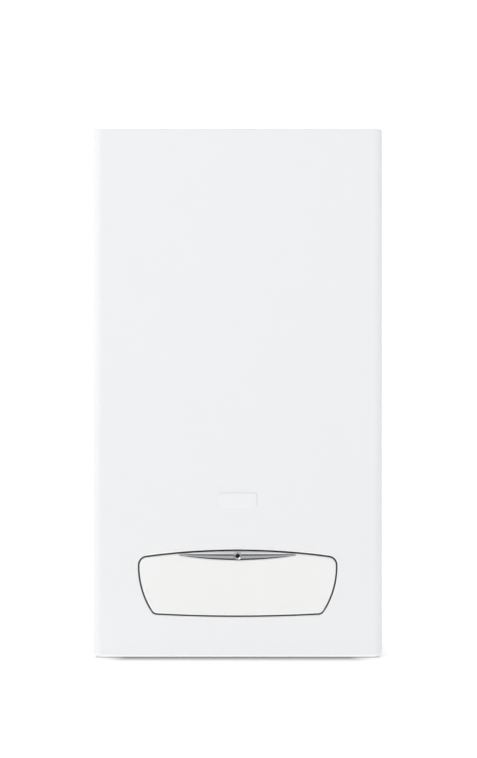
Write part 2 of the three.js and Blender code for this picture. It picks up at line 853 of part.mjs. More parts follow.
function makeFrontCasing() {
  const rearY = -casingWallGap;
  const shell = cut(casingForm(0, rearY), casingForm(sheet, overrun));
  const topWindow = block(
    [-halfWidth + topFlangeWidth, halfWidth - topFlangeWidth],
    [frontY + topFlangeWidth, overrun],
    [casingHeight - 2 * sheet, casingHeight + overrun],
  );
  const openingHalf = frameHalfWidth + cornerReturnGap;
  const bottomOpening = block(
    [-openingHalf, openingHalf],
    [frontY + bottomLipWidth, overrun],
    [-overrun, casingCornerRadius],
  );
  const lipRise = block(
    [-halfWidth + casingSideRadius, halfWidth - casingSideRadius],
    [frontY + bottomLipWidth - sheet, frontY + bottomLipWidth],
    [0, bottomLipHeight],
  );
  const slotHalf = topTabLength / 2 + tabSlotClearance;
  const slots = topTabs().map(({ x, y }) => block(
    [x - sheet / 2 - tabSlotClearance, x + sheet / 2 + tabSlotClearance],
    [y - slotHalf, y + slotHalf + topTabHeight + 2 * sheet],
    [casingHeight - 2 * sheet, casingHeight + overrun],
  ));
  const opening = slab('y', flapOutline(flapGap / 2), [frontY - overrun, frontY + overrun], flapArcSteps);
  return cut(join(cut(shell, bottomOpening), lipRise), topWindow, opening, ...slots);
}

// The places of the tabs on which the casing hangs
function topTabs() {
  const tabX = frameHalfWidth - sheet / 2;
  const places = [];
  for (const share of topTabPlaceShares) {
    for (const side of [-1, 1]) places.push({ x: side * tabX, y: share * frontY });
  }
  return places;
}

function makeTopPanel() {
  const front = frontY + panelFrontGap;
  const rear = -casingWallGap;
  const upstandTop = casingHeight - sheet - fit;
  const plan = rectangle([-frameHalfWidth, frameHalfWidth], [front, rear]);
  const insideHalf = frameHalfWidth - sheet;
  const inside = rectangle([-insideHalf, insideHalf], [front + sheet, rear + overrun]);
  const hollow = slab('z', inside, [panelTopZ, upstandTop + overrun]);
  const tray = cut(slab('z', plan, [panelBottomZ, upstandTop]), hollow);
  const tabs = topTabs().map(({ x, y }) => block(
    [x - sheet / 2, x + sheet / 2],
    [y - topTabLength / 2, y + topTabLength / 2],
    [panelTopZ, casingHeight + topTabHeight],
  ));
  const through = [panelBottomZ - overrun, casingHeight];
  return cut(join(tray, ...tabs), bar('z', [flueX, flueY], intakeRadius + fit, through, fineSides));
}

function makeWallBracket() {
  const side = bracketWidth / 2;
  const plate = block([-side, side], [-bracketThickness, 0], [hookZ - bracketHeight, hookZ]);
  const base = block([-side, side], [-hookDepth, 0], [hookZ - bracketThickness, hookZ]);
  const lip = block(
    [-side, side],
    [-hookDepth, bracketThickness - hookDepth],
    [hookZ - bracketThickness, hookZ + hookHeight],
  );
  const holes = [-1, 1].map((way) => bar(
    'y',
    [(way * bracketScrewSpacing) / 2, bracketZ],
    bracketScrewRadius,
    [-bracketThickness - overrun, overrun],
    smallSides,
  ));
  return cut(join(plate, base, lip), ...holes);
}

function makeBackFrame() {
  const top = panelBottomZ - fit;
  const flangeFront = frameFaceY - frameFlangeDepth;
  const plan = rounded([
    [-frameHalfWidth, flangeFront, 0],
    [-frameHalfWidth + sheet, flangeFront, 0],
    [-frameHalfWidth + sheet, frameFaceY, 0],
    [frameHalfWidth - sheet, frameFaceY, 0],
    [frameHalfWidth - sheet, flangeFront, 0],
    [frameHalfWidth, flangeFront, 0],
    [frameHalfWidth, frameRearY, 0],
    [-frameHalfWidth, frameRearY, 0],
  ]);
  const wrap = slab('z', plan, [frameBottomZ, top]);
  const shelfSide = frameHalfWidth - sheet / 2;
  const shelfSpan = [frameFaceY - hookDepth, frameFaceY + sheet / 2];
  const shelf = block([-shelfSide, shelfSide], shelfSpan, [top - sheet, top]);
  const window = block(
    [-bracketWidth / 2 - sheet, bracketWidth / 2 + sheet],
    [frameFaceY - sheet, 0],
    [hookZ + fit - frameWindowHeight, hookZ + fit],
  );
  return cut(join(wrap, shelf), window);
}

function tailHole(index, radius) {
  return bar('z', [index * tailSpacing, tailY], radius + fit, [plateZ - overrun, plateTopZ + overrun]);
}

function makeConnectionPlate() {
  const rear = frameFaceY - fit;
  const profile = rounded([
    [plateFrontY, plateZ - plateFrontDrop, 0],
    [plateFrontY + plateThickness, plateZ - plateFrontDrop, 0],
    [plateFrontY + plateThickness, plateZ, 0],
    [rear, plateZ, 0],
    [rear, plateTopZ + plateRearRise, 0],
    [rear - plateThickness, plateTopZ + plateRearRise, 0],
    [rear - plateThickness, plateTopZ, 0],
    [plateFrontY, plateTopZ, 0],
  ]);
  const folded = slab('x', profile, [-innerHalfWidth, innerHalfWidth]);
  const holes = [-2, 2].map((index) => tailHole(index, tailNeckRadius));
  holes.push(tailHole(0, gasPipeRadius), tailHole(-1, smallPipeRadius), tailHole(1, smallTailRadius));
  return cut(folded, ...holes);
}

function makeChamberBox() {
  const ends = [-innerHalfWidth, innerHalfWidth];
  const outer = block(ends, [chamberFrontY, chamberRearY], [chamberBottomZ, chamberTopZ]);
  const inner = block(
    [-innerHalfWidth + sheet, innerHalfWidth - sheet],
    [chamberFrontY + sheet, chamberRearY - sheet],
    [chamberBottomZ + sheet, chamberTopZ - sheet],
  );
  const mouth = block(
    [-innerHalfWidth + chamberFlangeWidth, innerHalfWidth - chamberFlangeWidth],
    [chamberFrontY - overrun, chamberFrontY + overrun],
    [chamberBottomZ + chamberFlangeWidth, chamberTopZ - chamberFlangeWidth],
  );
  const floorSpan = [chamberBottomZ - overrun, chamberBottomZ + overrun];
  const roofSpan = [chamberTopZ - overrun, chamberTopZ + overrun];
  const pipeHole = waterPipeRadius + fit;
  const pipePlaces = [[-waterPipeX, fireCentreY], [waterPipeX, fireCentreY]];
  const holes = pipePlaces.map((place) => bar('z', place, pipeHole, floorSpan, smallSides));
  holes.push(bar('z', [0, manifoldY()], gasPipeRadius + fit, floorSpan, smallSides));
  holes.push(bar('z', [flueX, flueY], intakeRadius - 2 * flueWall, roofSpan, fineSides));
  return cut(outer, inner, mouth, ...holes);
}

function makeGasket() {
  const low = chamberBottomZ + sheet;
  const high = chamberTopZ - sheet;
  const side = innerHalfWidth - sheet;
  const span = [gasketFrontY, chamberFrontY - fit];
  const ring = slab('y', rectangle([-side, side], [low, high]), span);
  const inner = rectangle([-side + gasketWidth, side - gasketWidth], [low + gasketWidth, high - gasketWidth]);
  return cut(ring, slab('y', inner, [gasketFrontY - overrun, chamberFrontY + overrun]));
}

function makeChamberCover() {
  const ends = [-innerHalfWidth, innerHalfWidth];
  const plate = block(ends, [coverFrontY, coverRearY], [chamberBottomZ, chamberTopZ]);
  const ribs = coverRibShares.map((share) => {
    const z = chamberBottomZ + share * (chamberTopZ - chamberBottomZ);
    const shape = rectangle(
      [-innerHalfWidth + 2 * coverRibWidth, innerHalfWidth - 2 * coverRibWidth],
      [z - coverRibWidth / 2, z + coverRibWidth / 2],
      coverRibWidth / 3,
    );
    return slab('y', shape, [coverFrontY - coverRibHeight, coverRearY]);
  });
  const through = [coverFrontY - 2 * overrun, coverRearY + overrun];
  const hole = bar('y', [sightGlassX, sightGlassZ()], sightGlassRadius, through);
  return cut(join(plate, ...ribs), hole);
}

function sightGlassZ() {
  return chamberBottomZ + sightGlassShare * chamberHeight;
}

function makeSightGlass() {
  const front = coverFrontY - coverRibHeight - fit;
  return stepped('y', [sightGlassX, sightGlassZ()], [
    [sightGlassRadius + sightGlassFlange, front - sightGlassThickness, front],
    [sightGlassRadius - fit, front, coverRearY],
  ]);
}

function makeCombustionChamber() {
  const side = fireWidth / 2;
  const walls = duct([-side, side], [fireFrontY, fireFrontY + fireDepth], [fireBottomZ, fireTopZ], sheet);
  const holes = [-1, 1].map((way) => electrodeBore(way, electrodeRadius + fit));
  return cut(walls, ...holes);
}

function electrodeBore(way, radius) {
  const centre = [(way * electrodeSpacing) / 2, fireBottomZ + electrodeRise];
  return bar('y', centre, radius, [fireFrontY - overrun, fireFrontY + liningThickness + overrun], smallSides);
}

function makeLining() {
  const side = fireWidth / 2 - sheet - fit;
  const front = fireFrontY + sheet + fit;
  const rear = fireFrontY + fireDepth - sheet - fit;
  const span = [fireBottomZ + liningEndGap, fireTopZ - liningEndGap];
  const lining = duct([-side, side], [front, rear], span, liningThickness);
  const holes = [-1, 1].map((way) => electrodeBore(way, electrodeRadius + fit));
  return cut(lining, ...holes);
}

function makeElectrode(way) {
  const centre = [(way * electrodeSpacing) / 2, fireBottomZ + electrodeRise];
  const seat = fireFrontY - fit;
  const rear = seat + electrodeLength / 2;
  return stepped('y', centre, [
    [electrodeRadius, seat - electrodeLength / 2, seat - electrodeCollarLength],
    [electrodeCollarRadius, seat - electrodeCollarLength, seat],
    [electrodeRadius, seat, rear],
    [electrodeTipRadius, rear, rear + electrodeTipLength],
  ], smallSides);
}

function makeBurner() {
  const side = fireWidth / 2;
  const front = fireFrontY + burnerSideThickness;
  const rear = fireFrontY + fireDepth - burnerSideThickness;
  const top = fireBottomZ - fit;
  const floor = chamberBottomZ + sheet + fit;
  const barTop = top - burnerBarTopDrop;
  const barLow = barTop - burnerBarHeight;
  const sides = [-1, 1].map((way) => {
    const inner = way * (side - burnerSideThickness);
    return block([Math.min(way * side, inner), Math.max(way * side, inner)], [front, rear], [floor, top]);
  });
  const rails = [front, rear - burnerSideThickness].map((y) => block(
    [-side, side],
    [y, y + burnerSideThickness],
    [barLow, barLow + burnerRailHeight],
  ));
  const pitch = (fireWidth - 2 * burnerSideThickness) / burnerBarCount;
  const bars = [];
  for (let i = 0; i < burnerBarCount; i += 1) {
    const x = -side + burnerSideThickness + (i + 1 / 2) * pitch;
    const half = burnerBarThickness / 2;
    const section = rounded([
      [x - half, barLow, 0],
      [x + half, barLow, 0],
      [x + half, barTop, 0],
      [x, barTop + half, 0],
      [x - half, barTop, 0],
    ]);
    bars.push(slab('y', section, [front, rear]));
  }
  return join(...sides, ...rails, ...bars);
}

function manifoldY() {
  return fireFrontY - manifoldGap - manifoldSize / 2;
}

function makeBurnerManifold() {
  const y = manifoldY();
  const z = chamberBottomZ + manifoldRise;
  const half = manifoldSize / 2;
  const side = fireWidth / 2 - burnerSideThickness;
  const body = block([-side, side], [y - half, y + half], [z - half, z + half]);
  const pitch = (fireWidth - 2 * burnerSideThickness) / burnerBarCount;
  const jets = [];
  for (let i = 0; i < burnerBarCount; i += 1) {
    const x = -fireWidth / 2 + burnerSideThickness + (i + 1 / 2) * pitch;
    jets.push(bar('y', [x, z], jetRadius, [y, y + half + jetLength], nutSides));
  }
  const gasTop = gasValveTopZ + gasStubLength + fit;
  const feed = bar('z', [0, y], gasPipeRadius, [gasTop, z], smallSides);
  return join(body, feed, ...jets);
}

function makeHeatExchanger() {
  const side = exchangerWidth / 2;
  const coreLow = exchangerZ - exchangerCoreHeight / 2;
  const coreHigh = exchangerZ + exchangerCoreHeight / 2;
  const pitch = exchangerWidth / finCount;
  const thickness = pitch * finShare;
  const shape = new THREE.Shape();
  const comb = (from, base, tip, way) => {
    for (let i = 0; i < finCount; i += 1) {
      const left = from + way * i * pitch;
      shape.lineTo(left, tip);
      shape.lineTo(left + way * thickness, tip);
      if (i < finCount - 1) shape.lineTo(left + way * thickness, base);
      if (i < finCount - 1) shape.lineTo(left + way * pitch, base);
    }
  };
  shape.moveTo(-side, coreLow);
  comb(-side, coreLow, exchangerBottomZ, 1);
  shape.lineTo(-side + (finCount - 1) * pitch + thickness, coreLow);
  shape.lineTo(side, coreLow);
  shape.lineTo(side, exchangerTopZ);
  comb(side, coreHigh, exchangerTopZ, -1);
  shape.lineTo(side - (finCount - 1) * pitch - thickness, coreHigh);
  shape.lineTo(-side, coreHigh);
  const depth = exchangerDepth / 2;
  const fins = slab('y', shape, [fireCentreY - depth, fireCentreY + depth]);
  const ports = [-1, 1].map((way) => {
    const ends = [way * (side - overrun), way * exchangerPortX].sort((a, b) => a - b);
    return bar('x', [fireCentreY, exchangerZ], exchangerPortRadius, ends, smallSides);
  });
  return join(fins, ...ports);
}

function makeFlueHood() {
  const side = exchangerWidth / 2;
  const front = fireCentreY - exchangerDepth / 2;
  const rear = hoodRearY;
  const neckHalf = fanInletRadius + hoodNeckMargin;
  const neck = [fanX - neckHalf, fanX + neckHalf];
  const neckTop = fanZ + fanInletRadius + hoodNeckRise;
  const base = (inset) => rounded([
    [-side + inset, hoodBottomZ - (inset ? overrun : 0), 0],
    [side - inset, hoodBottomZ - (inset ? overrun : 0), 0],
    [side - inset, hoodBottomZ + hoodShoulder, 0],
    [hoodTopShares[1] * side - inset, hoodTopZ - inset, 0],
    [hoodTopShares[0] * side + inset, hoodTopZ - inset, 0],
    [-side + inset, hoodBottomZ + hoodShoulder, 0],
  ]);
  const outer = join(
    slab('y', base(0), [front, rear]),
    block(neck, [hoodNeckY, rear], [hoodBottomZ + hoodShoulder, neckTop]),
  );
  const neckInside = [neck[0] + sheet, neck[1] - sheet];
  const inner = join(
    slab('y', base(sheet), [front + sheet, rear - sheet]),
    block(neckInside, [hoodNeckY + sheet, rear - sheet], [hoodBottomZ, neckTop - sheet]),
  );
  const inlet = bar('y', [fanX, fanZ], fanInletRadius, [hoodNeckY - overrun, hoodNeckY + overrun]);
  return cut(outer, inner, inlet);
}

// The scroll's outline, drawn in by an inset and open at its top when the inset is not zero
function scrollOutline(inset) {
  const shape = new THREE.Shape();
  const spiralSteps = 24;
  const outletRight = fanX + fanMaxRadius - inset;
  const outletLeft = fanX + fanMaxRadius - fanOutletWidth + inset;
  const top = fanOutletZ + (inset ? overrun : 0);
  for (let i = 0; i <= spiralSteps; i += 1) {
    const share = i / spiralSteps;
    const angle = THREE.MathUtils.degToRad(fanTongueAngle + share * (360 - fanTongueAngle));
    const radius = fanMinRadius + share * (fanMaxRadius - fanMinRadius) - inset;
    const x = fanX + radius * Math.cos(angle);
    const z = fanZ + radius * Math.sin(angle);
    if (i === 0) shape.moveTo(Math.min(x, outletLeft), z);
    else shape.lineTo(x, z);
  }
  shape.lineTo(outletRight, top);
  shape.lineTo(outletLeft, top);
  return shape;
}

function makeFanHousing() {
  const outer = slab('y', scrollOutline(0), [fanFrontY, fanRearY]);
  const inner = slab('y', scrollOutline(fanWall), [fanFrontY + fanWall, fanRearY - fanWall]);
  const inlet = bar('y', [fanX, fanZ], fanInletRadius, [fanRearY - overrun, fanRearY + overrun]);
  const face = [fanFrontY - overrun, fanFrontY + overrun];
  const shaftHole = bar('y', [fanX, fanZ], impellerHubRadius, face, smallSides);
  const nippleZ = fanOutletZ - 2 * nippleLength;
  const side = fanX + fanMaxRadius;
  const nipple = bar('x', [flueY, nippleZ], nippleRadius, [side - fanWall, side + nippleLength], smallSides);
  return join(cut(outer, inner, inlet, shaftHole), nipple);
}

function makeFanImpeller() {
  const centre = [fanX, fanZ];
  const front = flueY - impellerWidth / 2;
  const rear = flueY + impellerWidth / 2;
  const disc = bar('y', centre, impellerRadius, [front, front + impellerPlateThickness], fineSides);
  const ringSpan = [rear - impellerPlateThickness, rear];
  const ring = sleeve('y', centre, impellerRadius, impellerRadius - impellerBladeDepth, ringSpan, fineSides);
  const hubRadius = impellerHubRadius - 2 * fit;
  const hub = bar('y', centre, hubRadius, [front - impellerPlateThickness, flueY], smallSides);
  const shaft = bar('y', centre, fanShaftRadius, [fanFrontY - fit - fanShaftReach, flueY], smallSides);
  const blades = [];
  const bladeLength = impellerWidth - impellerPlateThickness;
  for (let i = 0; i < impellerBladeCount; i += 1) {
    const blade = new THREE.BoxGeometry(impellerBladeDepth, bladeLength, impellerBladeThickness);
    blade.rotateY(Math.PI / 5);
    blade.translate(impellerRadius - impellerBladeDepth * 0.6, 0, 0);
    blade.rotateY((2 * Math.PI * i) / impellerBladeCount);
    blade.translate(fanX, flueY, fanZ);
    blades.push(solidOf(blade));
  }
  const rim = bar('y', centre, impellerRadius, [front, rear], fineSides);
  return join(disc, ring, hub, shaft, ...blades.map((blade) => blade.intersect(rim)));
}

function makeFanMotor() {
  const front = fanFrontY - fit - fanMotorLength;
  const body = turned('y', [fanX, fanZ], [
    [0, front],
    [fanMotorRadius * 0.8, front],
    [fanMotorRadius, front + fanMotorRadius * 0.2],
    [fanMotorRadius, fanFrontY - fit],
    [0, fanFrontY - fit],
  ]);
  const boreSpan = [fanFrontY - 2 * fit - fanShaftReach, fanFrontY + overrun];
  const bore = bar('y', [fanX, fanZ], fanShaftRadius + fit, boreSpan, smallSides);
  return cut(body, bore);
}

function makeFlueCollar() {
  const base = fanOutletZ + fit;
  const half = flueRadius + flueWall + flueBaseMargin;
  const plate = block(
    [flueX - half, flueX + half],
    [flueY - half, flueY + half],
    [base, base + flueWall],
  );
  const top = casingHeight + flueRise;
  const tube = bar('z', [flueX, flueY], flueRadius + flueWall, [base, top], fineSides);
  const bore = bar('z', [flueX, flueY], flueRadius, [base - overrun, top + overrun], fineSides);
  return cut(join(plate, tube), bore);
}

function makeIntakeRing() {
  const centre = [flueX, flueY];
  const seat = panelTopZ + fit;
  const tube = bar('z', centre, intakeRadius, [chamberTopZ + fit, casingHeight + intakeRise], fineSides);
  const flange = bar('z', centre, intakeFlangeRadius, [seat, seat + intakeFlangeThickness], fineSides);
  const through = [chamberTopZ - overrun, casingHeight + 2 * overrun];
  const bore = bar('z', centre, intakeRadius - flueWall, through, fineSides);
  const screws = [];
  for (let i = 0; i < intakeScrewCount; i += 1) {
    const angle = Math.PI / intakeScrewCount + (2 * Math.PI * i) / intakeScrewCount;
    const radius = (intakeRadius + intakeFlangeRadius) / 2;
    const place = [flueX + radius * Math.cos(angle), flueY + radius * Math.sin(angle)];
    screws.push(bar('z', place, intakeScrewRadius, [seat - overrun, seat + overrun], smallSides));
  }
  return cut(join(tube, flange), bore, ...screws);
}

function switchZ() {
  return chamberBottomZ + switchShare * chamberHeight;
}

function makePressureSwitch() {
  const rear = chamberRearY - sheet - fit;
  const front = rear - switchThickness;
  const middle = (rear + front) / 2;
  const body = stepped('y', [switchX, switchZ()], [
    [switchRadius * 0.6, front, middle - switchRimThickness],
    [switchRadius * 0.9, middle - switchRimThickness, middle - switchRimThickness / 2],
    [switchRadius, middle - switchRimThickness / 2, middle + switchRimThickness / 2],
    [switchRadius * 0.9, middle + switchRimThickness / 2, rear],
  ]);
  const place = [switchX, switchZ() + nippleOffset];
  const nipple = bar('y', place, nippleRadius, [front - nippleLength, front + fit], smallSides);
  return join(body, nipple);
}

function makePressureTube() {
  const nippleZ = fanOutletZ - 2 * nippleLength;
  const startX = fanX + fanMaxRadius + nippleLength + fit;
  const endY = chamberRearY - sheet - fit - switchThickness - nippleLength - fit;
  const endZ = switchZ() + nippleOffset;
  return pipe([
    [startX, flueY, nippleZ],
    [tubeTurnX, flueY, nippleZ],
    [switchX, flueY, endZ],
    [switchX, endY, endZ],
  ], tubeRadius, tubeBend);
}

function makeExpansionVessel() {
  const side = vesselWidth / 2;
  const low = vesselBottomZ;
  const high = vesselTopZ;
  const front = vesselFrontY;
  const middle = (front + vesselRearY) / 2;
  const outline = rectangle([-side, side], [low, high], vesselRadius);
  const shell = slab('y', outline, [front, vesselRearY], arcSteps, vesselDome);
  const seamSide = side + vesselSeam;
  const seamHeights = [low - vesselSeam, high + vesselSeam];
  const seamOutline = rectangle([-seamSide, seamSide], seamHeights, vesselRadius + vesselSeam);
  const seam = slab('y', seamOutline, [middle - vesselSeam / 2, middle + vesselSeam / 2]);
  const stub = pipe([
    [pumpX, vesselStubY, low + vesselDome],
    [pumpX, vesselStubY, pumpZ],
    [pumpX, pumpRearY + fit, pumpZ],
  ], vesselStubRadius, vesselStubBend);
  return join(shell, seam, stub);
}

function makePumpBody() {
  const centre = [pumpX, pumpZ];
  const scroll = bar('y', centre, pumpRadius, [pumpFrontY, pumpRearY]);
  const portTop = pumpZ + pumpRadius + pumpPortLength;
  const portLow = pumpZ - pumpRadius - pumpPortLength;
  const ports = bar('z', [pumpX, tailY], pumpPortRadius, [portLow, portTop]);
  const boss = bar('z', [ventX, tailY], ventBossRadius, [pumpZ, ventBossTopZ], smallSides);
  const cavitySpan = [pumpFrontY - overrun, pumpFrontY + pumpImpellerWidth + pumpWall];
  const cavity = bar('y', centre, pumpImpellerRadius + pumpWall, cavitySpan);
  return cut(join(scroll, ports, boss), cavity);
}

function makePumpImpeller() {
  const centre = [pumpX, pumpZ];
  const front = pumpFrontY + fit;
  const rear = front + pumpImpellerWidth;
  const disc = bar('y', centre, pumpImpellerRadius, [front + pumpImpellerWidth / 2, rear]);
  const shaft = bar('y', centre, pumpShaftRadius, [pumpFrontY - fit - pumpShaftReach, rear], smallSides);
  const vanes = [];
  const vaneWidth = pumpImpellerWidth * 0.6;
  for (let i = 0; i < pumpVaneCount; i += 1) {
    const vane = new THREE.BoxGeometry(pumpImpellerRadius * 0.9, vaneWidth, impellerBladeThickness);
    vane.translate(pumpImpellerRadius * 0.45, 0, 0);
    vane.rotateY((2 * Math.PI * i) / pumpVaneCount);
    vane.translate(pumpX, front + pumpImpellerWidth * 0.4, pumpZ);
    vanes.push(solidOf(vane));
  }
  return join(disc, shaft, ...vanes);
}

function makePumpMotor() {
  const rear = pumpFrontY - fit;
  const front = boxRearY + pumpMotorBoxGap;
  const depth = rear - front;
  const body = turned('y', [pumpX, pumpZ], [
    [0, front],
    [pumpMotorRadius * 0.75, front],
    [pumpMotorRadius * 0.9, front + pumpMotorRadius * 0.15],
    [pumpMotorRadius * 0.9, rear - pumpMotorRadius * 0.2],
    [pumpMotorRadius, rear - pumpMotorRadius * 0.2],
    [pumpMotorRadius, rear],
    [0, rear],
  ]);
  const boxHalf = pumpMotorRadius * 0.6;
  const terminal = block(
    [pumpX - boxHalf, pumpX + boxHalf],
    terminalShares.map((share) => front + share * depth),
    [pumpZ, pumpZ + pumpMotorRadius * 1.2],
  );
  const boreSpan = [rear - fit - pumpShaftReach, rear + overrun];
  const bore = bar('y', [pumpX, pumpZ], pumpShaftRadius + fit, boreSpan, smallSides);
  return cut(join(body, terminal), bore);
}

function makeAirVent() {
  const low = ventBossTopZ + fit;
  return stepped('z', [ventX, tailY], [
    [ventBossRadius, low, low + ventCapHeight],
    [ventRadius, low + ventCapHeight, low + ventHeight - ventCapHeight],
    [ventCapRadius, low + ventHeight - ventCapHeight, low + ventHeight],
  ]);
}

// A brass block with its threaded end below the connection plate and its bore open downwards
function groupBody(index, top, radius, endRadius, neckRadius, boreRadius) {
  const centre = [index * tailSpacing, tailY];
  const flangeRadius = Math.max(radius, groupFlangeRadius * (radius / groupRadius));
  const body = stepped('z', centre, [
    [endRadius, tailEndZ, tailEndZ + tailThreadLength],
    [neckRadius, tailEndZ + tailThreadLength, groupBottomZ],
    [flangeRadius, groupBottomZ, groupBottomZ + groupFlangeHeight],
    [radius, groupBottomZ + groupFlangeHeight, top],
  ]);
  return cut(body, bar('z', centre, boreRadius, [tailEndZ - overrun, tailEndZ + tailBoreDepth]));
}

function makeReturnGroup() {
  const top = pumpZ - pumpRadius - pumpPortLength - fit;
  const body = groupBody(2, top, groupRadius, tailThreadRadius, tailNeckRadius, tailBoreRadius);
  const reliefEnd = pumpX + groupRadius + reliefArmLength;
  const relief = bar('x', [tailY, reliefZ], reliefArmRadius, [pumpX, reliefEnd]);
  const stemSpan = [reliefEnd - stemReach - fit, reliefEnd + overrun];
  const stemBore = bar('x', [tailY, reliefZ], stemRadius + fit, stemSpan, smallSides);
  const link = bar('x', [tailY, lowPortZ], armRadius, [plateExchangerReturnX, pumpX], smallSides);
  const portEnd = plateExchangerFrontY - plateExchangerPortLength - fit;
  const elbowSpan = [tailY - armRadius, portEnd];
  const elbow = bar('y', [plateExchangerReturnX, lowPortZ], armRadius, elbowSpan, smallSides);
  return cut(join(body, relief, link, elbow), stemBore);
}

// A fluted hand knob with its stem, its face looking along the axis
function handKnob(axis, centre, radius, [seat, face], stemEnd) {
  const way = Math.sign(face - seat);
  const span = (from, to) => [Math.min(from, to), Math.max(from, to)];
  const body = bar(axis, centre, radius * 0.8, span(seat, face));
  const skirt = bar(axis, centre, radius, span(seat + (way * Math.abs(face - seat)) / 3, face), smallSides);
  const stem = bar(axis, centre, stemRadius, span(stemEnd, seat + way), smallSides);
  return join(body, skirt, stem);
}

function makeReliefKnob() {
  const seat = pumpX + groupRadius + reliefArmLength + fit;
  return handKnob('x', [tailY, reliefZ], reliefKnobRadius, [seat, seat + reliefKnobLength], seat - stemReach);
}

function makeColdWaterGroup() {
  const neck = smallTailRadius - fit;
  const body = groupBody(1, coldGroupTopZ, coldGroupRadius, smallTailRadius, neck, smallTailBoreRadius);
  const x = tailSpacing;
  const armEnd = tailY - fillingArmLength;
  const arm = bar('y', [x, fillingZ], armRadius, [armEnd, tailY]);
  const stemSpan = [armEnd - overrun, armEnd + stemReach + fit];
  const stemBore = bar('y', [x, fillingZ], stemRadius + fit, stemSpan, smallSides);
  const linkSpan = [x, pumpX - groupFlangeRadius - fit];
  const link = bar('x', [tailY, fillingLinkZ], fillingLinkRadius, linkSpan, smallSides);
  const portEnd = plateExchangerFrontY - plateExchangerPortLength - fit;
  const elbow = bar('y', [x, highPortZ], armRadius, [tailY, portEnd], smallSides);
  return cut(join(body, arm, link, elbow), stemBore);
}

function makeFillingKnob() {
  const seat = tailY - fillingArmLength - fit;
  const span = [seat, seat - fillingKnobLength];
  return handKnob('y', [tailSpacing, fillingZ], fillingKnobRadius, span, seat + stemReach);
}

function makeDiverterValve() {
  const body = groupBody(-2, diverterTopZ, groupRadius, tailThreadRadius, tailNeckRadius, tailBoreRadius);
  const x = -2 * tailSpacing;
  const arm = bar('x', [tailY, highPortZ], armRadius, [x, -tailSpacing], smallSides);
  const portEnd = plateExchangerFrontY - plateExchangerPortLength - fit;
  const elbow = bar('y', [-tailSpacing, highPortZ], armRadius, [tailY - armRadius, portEnd], smallSides);
  const bonnet = bar('y', [x, highPortZ], bonnetRadius, [tailY - bonnetReach, tailY]);
  return join(body, arm, elbow, bonnet);
}

function makeActuator() {
  const x = -2 * tailSpacing;
  const rear = tailY - bonnetReach - fit;
  const shape = rectangle(
    [x - actuatorWidth / 2, x + actuatorWidth / 2],
    [highPortZ - actuatorHeight / 2, highPortZ + actuatorHeight / 2],
    actuatorWidth / 8,
  );
  const front = boxRearY + actuatorBoxGap;
  const body = slab('y', shape, [rear - (rear - front) * 0.7, rear]);
  const motor = bar('y', [x, highPortZ], actuatorWidth * 0.4, [front, rear - fit]);
  return join(body, motor);
}

function makePlateExchanger() {
  const ends = plateExchangerEnds;
  const heights = [plateExchangerBottomZ, plateExchangerBottomZ + plateExchangerHeight];
  const pitch = (plateExchangerRearY - plateExchangerFrontY) / plateExchangerPlateCount;
  const core = block(
    [ends[0] + plateExchangerGroove, ends[1] - plateExchangerGroove],
    [plateExchangerFrontY + fit, plateExchangerRearY - fit],
    [heights[0] + plateExchangerGroove, heights[1] - plateExchangerGroove],
  );
  const plates = [];
  for (let i = 0; i < plateExchangerPlateCount; i += 1) {
    const y = plateExchangerFrontY + i * pitch;
    plates.push(block(ends, [y, y + pitch / 2], heights));
  }
  const ports = [
    [-tailSpacing, lowPortZ],
    [-tailSpacing, highPortZ],
    [tailSpacing, highPortZ],
    [plateExchangerReturnX, lowPortZ],
  ].map((centre) => bar(
    'y',
    centre,
    armRadius,
    [plateExchangerFrontY - plateExchangerPortLength, plateExchangerFrontY + pitch],
    smallSides,
  ));
  const feet = [
    ends[0] + plateExchangerFootInset,
    ends[1] - plateExchangerFootInset - plateExchangerFootWidth,
  ].map((x) => block(
    [x, x + plateExchangerFootWidth],
    [plateExchangerFrontY + pitch, plateExchangerRearY - pitch],
    [plateTopZ + fit, plateExchangerBottomZ + 2 * plateExchangerGroove],
  ));
  return join(core, ...plates, ...ports, ...feet);
}

function makeWaterPipe(way, startZ) {
  return pipe([
    [way * pumpX, tailY, startZ + fit],
    [way * pumpX, tailY, waterPipeCrossZ],
    [way * waterPipeX, fireCentreY, waterPipeCrossZ],
    [way * waterPipeX, fireCentreY, exchangerZ],
    [way * (exchangerPortX + fit), fireCentreY, exchangerZ],
  ], waterPipeRadius, waterPipeBend);
}

function makeHotWaterPipe() {
  const x = -tailSpacing;
  const end = plateExchangerFrontY - plateExchangerPortLength - fit;
  const route = [[x, tailY, tailEndZ], [x, tailY, lowPortZ], [x, end, lowPortZ]];
  const run = pipe(route, smallPipeRadius, smallPipeBend);
  const thread = bar('z', [x, tailY], smallTailRadius, [tailEndZ, tailEndZ + tailThreadLength]);
  const nutSpan = [groupBottomZ, groupBottomZ + groupFlangeHeight];
  const nut = bar('z', [x, tailY], smallTailRadius + 2 * fit, nutSpan, nutSides);
  const boreSpan = [tailEndZ - overrun, tailEndZ + tailBoreDepth];
  const bore = bar('z', [x, tailY], smallTailBoreRadius - pipeWall, boreSpan);
  return cut(join(run, thread, nut), bore);
}

